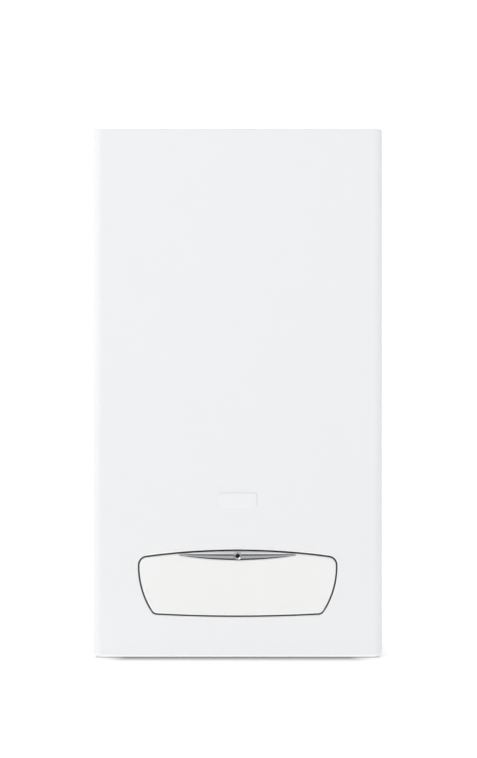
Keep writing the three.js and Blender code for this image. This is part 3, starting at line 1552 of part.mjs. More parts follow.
function makeGasInletPipe() {
  const run = pipe([
    [0, tailY, tailEndZ],
    [0, tailY, gasInletZ],
    [0, gasValveY() + gasValveDepth / 2 + fit, gasInletZ],
  ], gasPipeRadius, gasPipeBend);
  const thread = bar('z', [0, tailY], tailThreadRadius, [tailEndZ, tailEndZ + tailThreadLength]);
  const nutSpan = [groupBottomZ, groupBottomZ + groupFlangeHeight];
  const nut = bar('z', [0, tailY], tailThreadRadius, nutSpan, nutSides);
  const bore = bar('z', [0, tailY], gasPipeRadius - pipeWall, [tailEndZ - overrun, tailEndZ + tailBoreDepth]);
  return cut(join(run, thread, nut), bore);
}

function gasValveY() {
  return manifoldY() + gasValveDepth / 2 - gasStubRadius - fit;
}

function makeGasValve() {
  const side = gasValveWidth / 2;
  const y = gasValveY();
  const span = [y - gasValveDepth / 2, y + gasValveDepth / 2];
  const top = gasValveTopZ;
  const section = rectangle([-side, side], [gasValveBottomZ, top], 3 * jetRadius);
  const body = slab('y', section, span);
  const stub = bar('z', [0, manifoldY()], gasStubRadius - fit, [top - overrun, top + gasStubLength]);
  const coils = [-1, 1].map((way) => {
    const place = [(way * gasValveWidth) / 4, y + gasValveDepth / 4];
    return bar('z', place, gasCoilRadius, [gasValveBottomZ - gasCoilHeight + fit, gasValveBottomZ + overrun]);
  });
  return join(body, stub, ...coils);
}

function makeControlBox() {
  const side = boxWidth / 2;
  const outer = block([-side, side], [boxFrontY, boxRearY], [boxBottomZ, boxTopZ]);
  const inner = block(
    [-side + boxWall, side - boxWall],
    [boxFrontY - overrun, boxRearY - boxWall],
    [boxBottomZ + boxWall, boxTopZ - boxWall],
  );
  const bossSpan = [boardRearY + fit, boxRearY];
  const bosses = boardCorners().map((centre) => bar('y', centre, boardBossRadius, bossSpan, smallSides));
  const floorSpan = [boxBottomZ - overrun, boxBottomZ + overrun];
  const glandHole = bar('z', [glandX, glandY()], glandShankRadius + fit, floorSpan);
  const lipRear = frontY + bottomLipWidth + fit;
  const clips = [-1, 1].flatMap((way) => {
    const x = (way * clipSpacing) / 2;
    const ends = [x - clipWidth / 2, x + clipWidth / 2];
    return [
      block(ends, [boxFrontY, boxFrontY + clipThickness], [clipZ, boxBottomZ + boxWall]),
      block(ends, [lipRear, boxFrontY + clipThickness], [clipZ, clipZ + clipThickness]),
    ];
  });
  return cut(join(cut(outer, inner), ...bosses, ...clips), glandHole);
}

function boardCorners() {
  const dx = boardWidth / 2 - boardBossInset;
  const dz = boardHeight / 2 - boardBossInset;
  return [[-dx, boardZ - dz], [dx, boardZ - dz], [dx, boardZ + dz], [-dx, boardZ + dz]];
}

function glandY() {
  return boxRearY - boxDepth / 2;
}

function makeCableGland() {
  const seat = boxBottomZ - fit;
  const body = stepped('z', [glandX, glandY()], [
    [glandRadius * 0.8, seat - glandLength, seat - glandLength / 2],
    [glandRadius, seat - glandLength / 2, seat],
    [glandShankRadius, seat, boxBottomZ + boxWall + glandShankLength],
  ]);
  const through = [seat - glandLength - overrun, boxTopZ];
  return cut(body, bar('z', [glandX, glandY()], glandBoreRadius, through, smallSides));
}

function makeCircuitBoard() {
  const half = boardWidth / 2;
  const board = block(
    [-half, half],
    [boardFrontY, boardRearY],
    [boardZ - boardHeight / 2, boardZ + boardHeight / 2],
  );
  const parts = boardPartShares.map(([xShare, zShare, sizeShare]) => {
    const x = xShare * boardWidth;
    const z = boardZ + zShare * boardHeight;
    const size = (sizeShare * boardWidth) / 2;
    return block([x - size, x + size], [boardFrontY - boardPartHeight, boardRearY], [z - size, z + size]);
  });
  const cans = capacitorShares.map(([xShare, zShare]) => bar(
    'y',
    [xShare * boardWidth, boardZ + zShare * boardHeight],
    capacitorRadius,
    [boardFrontY - boardPartHeight, boardRearY],
    smallSides,
  ));
  const pots = [heatingKnobX, hotWaterKnobX].map((x) => bar(
    'y',
    [x, controlsZ],
    potRadius,
    [potFrontY, boardRearY],
    smallSides,
  ));
  return join(board, ...parts, ...cans, ...pots);
}

function makeFascia() {
  const side = boxWidth / 2;
  const span = [fasciaFrontY, fasciaRearY];
  const plate = slab('y', rectangle([-side, side], [boxBottomZ, boxTopZ], fasciaRadius), span);
  const through = [fasciaFrontY - overrun, fasciaRearY + 4 * overrun];
  const rockerHalf = rockerSize / 2 + rockerClearance;
  const wellHalf = rockerHalf + rockerWellWall;
  const well = block(
    [rockerX - wellHalf, rockerX + wellHalf],
    [fasciaFrontY, fasciaRearY + rockerWellDepth],
    [rockerZ - wellHalf, rockerZ + wellHalf],
  );
  const guideSpan = [fasciaFrontY, fasciaRearY + resetGuideLength];
  const guide = bar('y', [resetX, resetZ], resetRadius + fit + resetGuideWall, guideSpan);
  const rockerHole = block(
    [rockerX - rockerHalf, rockerX + rockerHalf],
    through,
    [rockerZ - rockerHalf, rockerZ + rockerHalf],
  );
  const pinReach = rockerSize / 2 + rockerPinLength + fit;
  const pinSpan = [rockerX - pinReach, rockerX + pinReach];
  const pinHole = bar('x', [rockerPivotY(), rockerZ], rockerPinRadius + fit, pinSpan, smallSides);
  const windowHole = block(
    [windowX - windowWidth / 2, windowX + windowWidth / 2],
    through,
    [windowZ - windowHeight / 2, windowZ + windowHeight / 2],
  );
  const shaftHole = knobShaftRadius + fit;
  const knobPlaces = [heatingKnobX, hotWaterKnobX].map((x) => [x, controlsZ]);
  const holes = knobPlaces.map((place) => bar('y', place, shaftHole, through, smallSides));
  holes.push(bar('y', [gaugeX, controlsZ], gaugeRadius + fit, through, fineSides));
  holes.push(bar('y', [resetX, resetZ], resetRadius + fit, through));
  return cut(join(plate, well, guide), rockerHole, pinHole, windowHole, ...holes);
}

function rockerPivotY() {
  return fasciaRearY + rockerWellDepth / 2;
}

function makeKnob(x) {
  const seat = fasciaFrontY - fit;
  const centre = [x, controlsZ];
  const skirt = bar('y', centre, knobRadius, [seat - knobSkirt, seat], fineSides);
  const round = bar('y', centre, knobRadius - knobGripInset, [seat - knobDepth, seat - fit], fineSides);
  const grip = block(
    [x - knobGripWidth / 2, x + knobGripWidth / 2],
    [seat - knobDepth, seat],
    [controlsZ - knobRadius - overrun, controlsZ + knobRadius + overrun],
  );
  const shaftSpan = [seat - knobSkirt, fasciaRearY - fasciaThickness + knobShaftLength];
  const shaft = bar('y', centre, knobShaftRadius, shaftSpan, smallSides);
  return join(skirt, grip.intersect(round), shaft);
}

function makePowerSwitch() {
  const half = rockerSize / 2;
  const front = fasciaFrontY - rockerFront;
  const rear = front + rockerDepth;
  const section = rounded([
    [front, rockerZ - half, 0],
    [rear, rockerZ - half + rockerClearance, 0],
    [rear, rockerZ + half - rockerClearance, 0],
    [front, rockerZ + half, 0],
    [front + rockerClearance, rockerZ, 0],
  ]);
  const body = slab('x', section, [rockerX - half, rockerX + half]);
  const reach = half + rockerPinLength;
  const pinSpan = [rockerX - reach, rockerX + reach];
  return join(body, bar('x', [rockerPivotY(), rockerZ], rockerPinRadius, pinSpan, smallSides));
}

function makeResetButton() {
  const front = fasciaFrontY - resetFront;
  return turned('y', [resetX, resetZ], [
    [0, front],
    [resetRadius - resetFront / 4, front],
    [resetRadius, front + resetFront / 4],
    [resetRadius, front + resetLength],
    [0, front + resetLength],
  ]);
}

function makeGaugeBody() {
  const centre = [gaugeX, controlsZ];
  const seat = fasciaFrontY - fit;
  const front = seat - gaugeFlangeThickness;
  const body = stepped('y', centre, [
    [gaugeRadius + gaugeFlange, front, seat],
    [gaugeRadius, seat, seat + gaugeBodyLength],
  ], fineSides);
  const dialSpan = [front - overrun, front + gaugeDialDepth];
  const dial = bar('y', centre, gaugeRadius - gaugeWall, dialSpan, fineSides);
  const pinSpan = [front, front + gaugeDialDepth + needlePinLength];
  const pinHole = bar('y', centre, needlePinRadius + fit, pinSpan, smallSides);
  return cut(body, dial, pinHole);
}

function gaugeFrontY() {
  return fasciaFrontY - fit - gaugeFlangeThickness;
}

function makeGaugeNeedle() {
  const dialY = gaugeFrontY() + gaugeDialDepth;
  const front = dialY - needleLift - needleThickness;
  const centre = [gaugeX, controlsZ];
  const pointer = rounded([
    [gaugeX - needleWidth / 2, controlsZ - needleTail, 0],
    [gaugeX + needleWidth / 2, controlsZ - needleTail, 0],
    [gaugeX + needleWidth / 4, controlsZ + needleLength, 0],
    [gaugeX - needleWidth / 4, controlsZ + needleLength, 0],
  ]);
  const hand = slab('y', pointer, [front, front + needleThickness]);
  const hubSpan = [front - needleThickness / 2, front + needleThickness];
  const hub = bar('y', centre, needleHubRadius, hubSpan, smallSides);
  const pin = bar('y', centre, needlePinRadius, [front, dialY + needlePinLength - fit], smallSides);
  return join(hand, hub, pin);
}

function makeGaugeGlass() {
  const front = gaugeFrontY() + gaugeGlassSet;
  const span = [front, front + gaugeGlassThickness];
  return bar('y', [gaugeX, controlsZ], gaugeRadius - gaugeWall - fit, span, fineSides);
}

function makeDisplayWindow() {
  const seat = fasciaFrontY - fit;
  const half = windowWidth / 2;
  const high = windowHeight / 2;
  const lip = rectangle(
    [windowX - half - windowLip, windowX + half + windowLip],
    [windowZ - high - windowLip, windowZ + high + windowLip],
    windowLip,
  );
  const front = slab('y', lip, [seat - windowThickness, seat]);
  const body = block(
    [windowX - half + fit, windowX + half - fit],
    [seat - windowThickness, seat + windowBack],
    [windowZ - high + fit, windowZ + high - fit],
  );
  return join(front, body);
}

function makeControlFlap() {
  const outer = slab('y', flapOutline(-flapGap / 2), [frontY, flapRearY], flapArcSteps, flapEdgeChamfer);
  const hollow = slab(
    'y',
    flapOutline(-flapGap / 2 - flapRimThickness),
    [frontY + flapThickness, flapRearY + overrun],
    flapArcSteps,
  );
  const keep = slab('y', flapOutline(-flapGap / 2), [frontY + flapEdgeChamfer, flapRearY], flapArcSteps);
  const bosses = [-1, 1].map((way) => {
    const middle = way * (flapHalfWidth - hingeBossInset - hingeBossLength / 2);
    const ends = [middle - hingeBossLength / 2, middle + hingeBossLength / 2];
    const eye = bar('x', [hingeY, hingeZ], hingeBossRadius, ends);
    return eye.intersect(keep);
  });
  const bores = [-1, 1].map((way) => {
    const start = way * (flapHalfWidth - hingeBossInset - hingeBossLength + fit);
    const end = way * (flapHalfWidth + overrun);
    const span = [Math.min(start, end), Math.max(start, end)];
    return bar('x', [hingeY, hingeZ], hingePinRadius + fit, span, smallSides);
  });
  const pocket = slab('y', gripOutline(-fit), [frontY - overrun, frontY + gripPocketDepth], flapArcSteps);
  const lensSpan = [frontY - overrun, frontY + overrun];
  const lensHole = bar('y', [0, statusZ], statusLensRadius + fit, lensSpan, smallSides);
  return cut(join(cut(outer, hollow), ...bosses), pocket, lensHole, ...bores);
}

function makeFlapGrip() {
  const rear = frontY + gripPocketDepth - fit;
  const lens = slab('y', gripOutline(0), [frontY - 2 * gripRidge, rear], flapArcSteps);
  const ridge = rounded([
    [rear, gripZ - gripDrop, 0],
    [rear, gripZ + gripDrop, 0],
    [frontY, gripZ + gripDrop / 2, 0],
    [frontY - gripRidge, gripZ, 0],
    [frontY, gripZ - gripDrop / 2, 0],
  ].reverse());
  const blade = slab('x', ridge, [-gripHalfChord, gripHalfChord]);
  const ring = turned('y', [0, statusZ], [
    [0, frontY - gripRidge - statusRingHeight],
    [statusLensRadius + statusRingHeight, frontY - gripRidge - statusRingHeight],
    [statusRingRadius, frontY],
    [0, frontY],
  ]);
  const hole = bar('y', [0, statusZ], statusLensRadius + fit, [frontY - 2 * overrun, frontY + overrun]);
  return cut(join(lens.intersect(blade), ring), hole);
}

function makeStatusLens() {
  const front = frontY - gripRidge;
  const rear = frontY + statusLensReach;
  return turned('y', [0, statusZ], [
    [0, front - statusRingHeight / 2],
    [statusLensRadius * 0.6, front - statusRingHeight / 3],
    [statusLensRadius, front],
    [statusLensRadius, rear],
    [0, rear],
  ]);
}

function makeFlapHinge(way) {
  const span = (from, to) => [Math.min(way * from, way * to), Math.max(way * from, way * to)];
  const openingHalf = flapHalfWidth - hingeBossInset + hingeBossLength + hingeEarGap;
  const earRear = frontY + sheet + fit + hingeEarDepth;
  const low = hingeZ - hingeEarHeight / 2;
  const high = hingeZ + hingeEarHeight / 2;
  const ear = block(
    span(openingHalf, openingHalf + hingeEarThickness),
    [frontY + sheet + fit, earRear],
    [low, high],
  );
  const foot = block(
    span(openingHalf, openingHalf + hingeFootWidth),
    [frontY + sheet + fit, frontY + sheet + fit + hingeFootThickness],
    [low, high],
  );
  const pinStart = flapHalfWidth - hingeBossInset - hingeBossLength + 2 * fit;
  const pinSpan = span(pinStart, openingHalf + hingeEarThickness);
  const pin = bar('x', [hingeY, hingeZ], hingePinRadius, pinSpan, smallSides);
  return join(ear, foot, pin);
}

function makeFlapCatch() {
  const half = catchWidth / 2;
  const face = frontY + sheet + fit;
  const low = flapTopZ + flapGap + catchThickness;
  const high = low + catchHeight;
  const noseRear = flapRearY + fit + catchThickness;
  const foot = block([-half, half], [face, face + catchThickness], [low, high]);
  const roof = block([-half, half], [face, noseRear], [high - catchThickness, high]);
  const nose = block([-half, half], [flapRearY + fit, noseRear], [flapTopZ - catchReach, high]);
  return join(foot, roof, nose);
}

function makeBadgePlate() {
  const rear = frontY - fit;
  const shape = rectangle(
    [-badgeWidth / 2, badgeWidth / 2],
    [badgeZ - badgeHeight / 2, badgeZ + badgeHeight / 2],
    badgeRadius,
  );
  return slab('y', shape, [rear - badgeThickness, rear], arcSteps, badgeThickness / 3);
}

// Casing and what lifts off with it
addPiece('front_casing', 'enamel', makeFrontCasing());
addPiece('badge_plate', 'whitePlastic', makeBadgePlate());
addPiece('flap_hinge_left', 'zincSteel', makeFlapHinge(-1));
addPiece('flap_hinge_right', 'zincSteel', makeFlapHinge(1));
addPiece('flap_catch', 'greyPlastic', makeFlapCatch());

// Flap
addPiece('control_flap', 'whitePlastic', makeControlFlap());
addPiece('flap_grip', 'silver', makeFlapGrip());
addPiece('status_lens', 'smokedLens', makeStatusLens());

// Frame
addPiece('wall_bracket', 'zincSteel', makeWallBracket());
addPiece('back_frame', 'zincSteel', makeBackFrame());
addPiece('top_panel', 'zincSteel', makeTopPanel());
addPiece('connection_plate', 'zincSteel', makeConnectionPlate());

// Sealed chamber
addPiece('chamber_box', 'zincSteel', makeChamberBox());
addPiece('chamber_gasket', 'rubber', makeGasket());
addPiece('chamber_cover', 'aluminium', makeChamberCover());
addPiece('sight_glass', 'glass', makeSightGlass());
addPiece('combustion_chamber', 'steel', makeCombustionChamber());
addPiece('chamber_insulation', 'ceramic', makeLining());
addPiece('burner', 'steel', makeBurner());
addPiece('burner_manifold', 'aluminium', makeBurnerManifold());
addPiece('ignition_electrode', 'ceramic', makeElectrode(-1));
addPiece('sensing_electrode', 'ceramic', makeElectrode(1));
addPiece('heat_exchanger', 'copper', makeHeatExchanger());

// Flue side
addPiece('flue_hood', 'steel', makeFlueHood());
addPiece('fan_housing', 'aluminium', makeFanHousing());
addPiece('fan_impeller', 'steel', makeFanImpeller());
addPiece('fan_motor', 'castIron', makeFanMotor());
addPiece('flue_collar', 'aluminium', makeFlueCollar());
addPiece('air_intake_ring', 'aluminium', makeIntakeRing());
addPiece('air_pressure_switch', 'greyPlastic', makePressureSwitch());
addPiece('pressure_tube', 'silicone', makePressureTube());

// Water side
addPiece('expansion_vessel', 'redPaint', makeExpansionVessel());
addPiece('pump_body', 'castIron', makePumpBody());
addPiece('pump_impeller', 'greyPlastic', makePumpImpeller());
addPiece('pump_motor', 'castIron', makePumpMotor());
addPiece('air_vent', 'brass', makeAirVent());
addPiece('return_group', 'brass', makeReturnGroup());
addPiece('relief_knob', 'redPaint', makeReliefKnob());
addPiece('cold_water_group', 'brass', makeColdWaterGroup());
addPiece('filling_knob', 'bluePlastic', makeFillingKnob());
addPiece('diverter_valve', 'brass', makeDiverterValve());
addPiece('diverter_actuator', 'darkPlastic', makeActuator());
addPiece('plate_heat_exchanger', 'steel', makePlateExchanger());
addPiece('flow_pipe', 'copper', makeWaterPipe(-1, diverterTopZ));
addPiece('return_pipe', 'copper', makeWaterPipe(1, pumpZ + pumpRadius + pumpPortLength));
addPiece('hot_water_pipe', 'copper', makeHotWaterPipe());

// Gas side
addPiece('gas_valve', 'aluminium', makeGasValve());
addPiece('gas_inlet_pipe', 'steel', makeGasInletPipe());

// Electric side and controls
addPiece('control_box', 'darkPlastic', makeControlBox());
addPiece('control_fascia', 'greyPlastic', makeFascia());
addPiece('circuit_board', 'boardGreen', makeCircuitBoard());
addPiece('cable_gland', 'darkPlastic', makeCableGland());
addPiece('heating_knob', 'darkPlastic', makeKnob(heatingKnobX));
addPiece('hot_water_knob', 'darkPlastic', makeKnob(hotWaterKnobX));
addPiece('power_switch', 'darkPlastic', makePowerSwitch());
addPiece('reset_button', 'redPaint', makeResetButton());
addPiece('display_window', 'smokedLens', makeDisplayWindow());
addPiece('gauge_body', 'darkPlastic', makeGaugeBody());
addPiece('gauge_needle', 'redPaint', makeGaugeNeedle());
addPiece('gauge_glass', 'glass', makeGaugeGlass());

// The origin is the middle of the hanging bracket's rear face
boiler.position.set(0, 0, -bracketZ);

export default boiler;
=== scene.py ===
"""Dresses a wall-mounted gas boiler: the finer casing, flap, grip and fittings, and their finishes."""

from functools import cache
from math import atan2, cos, hypot, pi, radians, sin, sqrt

import bmesh
import bpy
from bpy.props import FloatProperty, FloatVectorProperty, PointerProperty
from bpy.types import NodeSocket, Operator, Panel, PropertyGroup
from mathutils import Matrix, Vector


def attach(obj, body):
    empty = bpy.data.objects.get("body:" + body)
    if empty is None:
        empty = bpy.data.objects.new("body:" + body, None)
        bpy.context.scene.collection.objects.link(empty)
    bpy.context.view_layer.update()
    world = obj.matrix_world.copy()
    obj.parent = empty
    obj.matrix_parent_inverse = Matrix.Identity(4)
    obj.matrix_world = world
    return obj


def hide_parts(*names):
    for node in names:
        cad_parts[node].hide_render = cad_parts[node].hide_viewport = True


bl_info = {
    "name": "Wall-Mounted Gas Boiler",
    "version": (1, 0, 0),
    "blender": (4, 5, 0),
    "location": "3D View > Sidebar > Boiler",
    "description": "Builds the looks of a wall-mounted gas boiler around its frame",
    "category": "Add Mesh",
}

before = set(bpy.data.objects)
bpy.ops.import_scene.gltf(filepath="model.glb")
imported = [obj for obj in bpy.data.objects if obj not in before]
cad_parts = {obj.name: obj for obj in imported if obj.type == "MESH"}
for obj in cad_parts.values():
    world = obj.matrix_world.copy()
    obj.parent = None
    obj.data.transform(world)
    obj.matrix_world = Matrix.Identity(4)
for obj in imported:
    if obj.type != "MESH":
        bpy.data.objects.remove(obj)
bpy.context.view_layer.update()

# All lengths below are in millimetres, with heights from the casing's bottom edge
MM = 0.001
ORIGIN_Z = 658.0
TO_ROW = Matrix.Scale(MM, 4) @ Matrix.Translation((0, 0, -ORIGIN_Z))
FROM_ROW = Matrix.Translation((0, 0, ORIGIN_Z)) @ Matrix.Scale(1 / MM, 4)
WELD = 0.002
SOFT_EDGE = 0.35
FRONT = -299.0
HEIGHT = 730.0
HALF_WIDTH = 200.0
SHEET = 1.0

# Flap gap's centre line: circles given as (x, z, radius)
FLAP_TOP = (0.0, 147.3 - 948.0, 948.0)
FLAP_BOTTOM = (0.0, 56.2 + 2090.0, 2090.0)
FLAP_SIDE = (136.9 - 115.0, 125.3, 115.0)
FLAP_TOP_CORNER = 12.0
FLAP_BOTTOM_CORNER = 9.0
FLAP_GAP = 2.0
FLAP_REAR = -290.0
FLAP_SKIN = 3.0
FLAP_RIM = 2.5
HINGE = (-296.5, 64.1)

# Grip, status window and badge plate
GRIP_HALF = 80.4
GRIP_TIP = 2.2
GRIP_LOW_SEEN = 135.6
POCKET_LOW = 134.0
GRIP_REAR = -297.3
STATUS_Z = 139.9
BADGE_HALF = 26.5
BADGE_SPAN = (206.8, 226.8)
BADGE_FRONT = -299.9

# Places of the works behind the casing
TAIL_STEP = 60.0
TAIL_Y = -86.0
TAIL_NUT = (39.8, 53.8)
PUMP_X = 120.0
PUMP_Z = 150.0
PIPE_X = 150.0
PIPE_CROSS_Z = 242.0
GAS_CROSS_Z = 222.0
FIRE_Y = -175.0
EXCHANGER_Z = 490.5
FLUE_Y = -190.0
TUBE_Z = 688.7
COVER_Y = -274.6
FASCIA_Y = -267.9
CONTROLS_Z = 100.0
KNOB_PLACES = {"heating": -88.0, "hot_water": -36.0}
GAUGE_X = 92.0
GAUGE_FACE = -262.9

# Angles in degrees
SMOOTH_BELOW = 38.0
FLAT_BELOW = 14.0
SOFTEN_ABOVE = 40.0
DIAL_SWEEP = 270

# Shapes


def row_place(x, y, z):
    """The place in the row frame, in metres."""
    return Vector((x, y, z - ORIGIN_Z)) * MM


def mesh_from(bm, name, sharp=SMOOTH_BELOW):
    """A mesh in metres from a bmesh in millimetres, smooth but for edges above the sharp angle."""
    bmesh.ops.remove_doubles(bm, verts=bm.verts, dist=WELD)
    bmesh.ops.recalc_face_normals(bm, faces=bm.faces)
    for face in bm.faces:
        face.smooth = True
    bm.transform(TO_ROW)
    mesh = bpy.data.meshes.new(name)
    bm.to_mesh(mesh)
    bm.free()
    mesh.set_sharp_from_angle(angle=radians(sharp))
    return mesh


def add_loop(bm, points):
    return [bm.verts.new(point) for point in points]


def bridge(bm, first, second):
    """Quads between two closed loops with the same number of points."""
    count = len(first)
    for i in range(count):
        j = (i + 1) % count
        bm.faces.new((first[i], first[j], second[j], second[i]))


def fill_between(bm, outer, inner):
    """A flat face with a hole: fills between an outer and an inner loop."""
    edges = []
    for loop in (outer, inner):
        for vert, after in zip(loop, loop[1:] + loop[:1]):
            edges.append(next(edge for edge in vert.link_edges if edge.other_vert(vert) is after))
    bmesh.ops.triangle_fill(bm, edges=edges, use_beauty=True)


def loft(bm, loops, caps=True):
    """Joins closed loops in order, and caps the ends unless it is told not to."""
    made = [add_loop(bm, points) for points in loops]
    for first, second in zip(made, made[1:]):
        bridge(bm, first, second)
    if caps:
        bm.faces.new(made[0])
        bm.faces.new(made[-1][::-1])
    return made


def along(axis, centre, radius, angle, place):
    """A point on a ring round an axis: centre holds the two cross coordinates."""
    point = [centre[0] + radius * cos(angle), centre[1] + radius * sin(angle)]
    point.insert("xyz".index(axis), place)
    return Vector(point)


def ring(axis, centre, radius, place, sides):
    """The points of a ring round an axis."""
    return [along(axis, centre, radius, 2 * pi * i / sides, place) for i in range(sides)]


def add_turned(bm, axis, centre, profile, sides=40, closed=False):
    """A turned solid from (radius, place) steps; a radius of zero closes it to a point."""
    steps = profile + profile[:1] if closed else profile
    rings = []
    for radius, place in steps:
        rings.append(add_loop(bm, ring(axis, centre, radius, place, sides if radius else 1)))
    for first, second in zip(rings, rings[1:]):
        for i in range(sides):
            j = (i + 1) % sides
            spots = ((first, i), (first, j), (second, j), (second, i))
            bm.faces.new(list(dict.fromkeys(loop[k % len(loop)] for loop, k in spots)))


def add_block(bm, xs, ys, zs, edge=0.0):
    """A block, its edges rounded where an edge radius is given."""
    verts = add_loop(bm, [Vector((x, y, z)) for x in xs for y in ys for z in zs])
    faces = []
    for quad in ((0, 1, 3, 2), (4, 6, 7, 5), (0, 4, 5, 1), (2, 3, 7, 6), (0, 2, 6, 4), (1, 5, 7, 3)):
        faces.append(bm.faces.new([verts[i] for i in quad]))
    if edge > 0:
        edges = list({e for face in faces for e in face.edges})
        bmesh.ops.bevel(bm, geom=edges, offset=edge, segments=3, profile=0.5, affect="EDGES")
    return verts


def route_points(corners, bend, steps=8):
    """Points and headings along a route whose corners are rounded by a bend."""
    spots = [Vector(corner) for corner in corners]
    points = [(spots[0], (spots[1] - spots[0]).normalized())]
    for before, here, after in zip(spots, spots[1:], spots[2:]):
        arriving = (here - before).normalized()
        leaving = (after - here).normalized()
        turn = arriving.angle(leaving)
        start = here - arriving * bend * (sin(turn / 2) / cos(turn / 2))
        inward = (leaving - arriving * leaving.dot(arriving)).normalized()
        for i in range(steps + 1):
            angle = turn * i / steps
            place = start + arriving * bend * sin(angle) + inward * bend * (1 - cos(angle))
            points.append((place, arriving * cos(angle) + inward * sin(angle)))
    points.append((spots[-1], (spots[-1] - spots[-2]).normalized()))
    return points


def add_tube(bm, corners, radius, bend, sides=24):
    """A round tube along a route, closed at both ends."""
    stations = route_points(corners, bend)
    across = stations[0][1].orthogonal().normalized()
    turns = [2 * pi * i / sides for i in range(sides)]
    loops = []
    for place, heading in stations:
        across = (across - heading * across.dot(heading)).normalized()
        other = heading.cross(across)
        loops.append([place + (across * cos(turn) + other * sin(turn)) * radius for turn in turns])
    loft(bm, loops)


def add_nut(bm, axis, centre, radius, bore, span):
    """A six-sided nut with a through bore and corners turned off at both ends."""
    low, high = span
    sides, end = 36, radius * 0.87
    chamfer = radius * 0.12
    rings = []
    for reach, place in ((end, low), (radius, low + chamfer), (radius, high - chamfer), (end, high)):
        points = []
        for i in range(sides):
            turn = 2 * pi * i / sides
            flat = radius * cos(pi / 6) / cos((turn % (pi / 3)) - pi / 6)
            points.append(along(axis, centre, min(flat, reach), turn, place))
        rings.append(points)
    rings += [ring(axis, centre, bore, place, sides) for place in (high, low)]
    made = loft(bm, rings, caps=False)
    bridge(bm, made[-1], made[0])


def add_thread(bm, axis, centre, radius, span, depth=0.7):
    """A ridge wound round a pipe end."""
    low, high = span
    sides, pitch, root, fade_steps = 32, 1.8, radius - 0.3, 12
    count = int((high - low - pitch) / pitch * sides)
    loops = []
    for i in range(count + 1):
        place = low + pitch * i / sides
        crest = radius + depth * min(1.0, i / fade_steps, (count - i) / fade_steps)
        turn = 2 * pi * i / sides
        section = ((root, 0), (crest, 0.4), (crest, 0.55), (root, 0.95))
        loops.append([along(axis, centre, reach, turn, place + pitch * up) for reach, up in section])
    loft(bm, loops)


def add_screw(bm, axis, centre, seat, way, radius=3.2):
    """A pan-head screw with a cross recess; way is the side of the seat it stands on."""
    sides, top, recess = 24, 1.75, 0.9
    head = ((1.0, -0.3), (1.0, 0.5), (0.93, 1.1), (0.75, 1.6), (0.62, top))
    rings = [ring(axis, centre, radius * share, seat + way * rise, sides) for share, rise in head]
    arms = [radius * (0.5 if i % 6 in (0, 1, 5) else 0.18) for i in range(sides)]
    for rise in (top, recess):
        place = seat + way * rise
        rings.append([along(axis, centre, arm, 2 * pi * i / sides, place) for i, arm in enumerate(arms)])
    loft(bm, rings)


def add_number(bm, text, size, x, y, z):
    """A flat number printed on a face that looks forwards."""
    curve = bpy.data.curves.new("number", "FONT")
    curve.body = text
    curve.size = size
    curve.align_x, curve.align_y = "CENTER", "CENTER"
    curve.extrude = 0.06
    holder = bpy.data.objects.new("number", curve)
    mesh = bpy.data.meshes.new_from_object(holder)
    mesh.transform(Matrix.Translation((x, y, z)) @ Matrix.Rotation(pi / 2, 4, "X"))
    bm.from_mesh(mesh)
    bpy.data.objects.remove(holder)


def add_scale(bm, centre, steps, every, unit, depths, minor, main, reach, size):
    """Ticks, each given as (half width, inner, outer), and a number at each main tick, round a dial."""
    x, y, z = centre
    for i in range(steps + 1):
        turn = radians(DIAL_SWEEP / 2 - DIAL_SWEEP * i / steps)
        half, inner, outer = minor if i % every else main
        tick = add_block(bm, (-half, half), depths, (inner, outer))
        place = Matrix.Translation(centre) @ Matrix.Rotation(-turn, 4, "Y")
        bmesh.ops.transform(bm, matrix=place, verts=tick)
        if i % every == 0:
            add_number(bm, str(i // unit), size, x - reach * sin(turn), y, z + reach * cos(turn))


def cut_away(solid, tool):
    """A solid less a tool, all as bmeshes in millimetres."""
    target, cutter = (bpy.data.objects.new("cut", mesh_from(bm, "cut")) for bm in (solid, tool))
    for item in (target, cutter):
        bpy.context.scene.collection.objects.link(item)
    add_modifier(target, "BOOLEAN", operation="DIFFERENCE", solver="EXACT", object=cutter)
    result = target.evaluated_get(bpy.context.evaluated_depsgraph_get())
    bm = bmesh.new()
    bm.from_mesh(bpy.data.meshes.new_from_object(result))
    bm.transform(FROM_ROW)
    for item in (target, cutter):
        bpy.data.objects.remove(item)
    return bm


def tangent_corner(large, side, radius):
    """A small circle inside two large ones and tangent to both."""
    reach_large = large[2] - radius
    reach_side = side[2] - radius
    dx, dz = side[0] - large[0], side[1] - large[1]
    apart = hypot(dx, dz)
    along_line = (reach_large**2 - reach_side**2 + apart**2) / (2 * apart)
    across = sqrt(reach_large**2 - along_line**2)
    way = 1 if dz > 0 else -1
    x = large[0] + (along_line * dx + across * abs(dz)) / apart
    z = large[1] + (along_line * dz - across * dx * way) / apart
    return (x, z, radius)


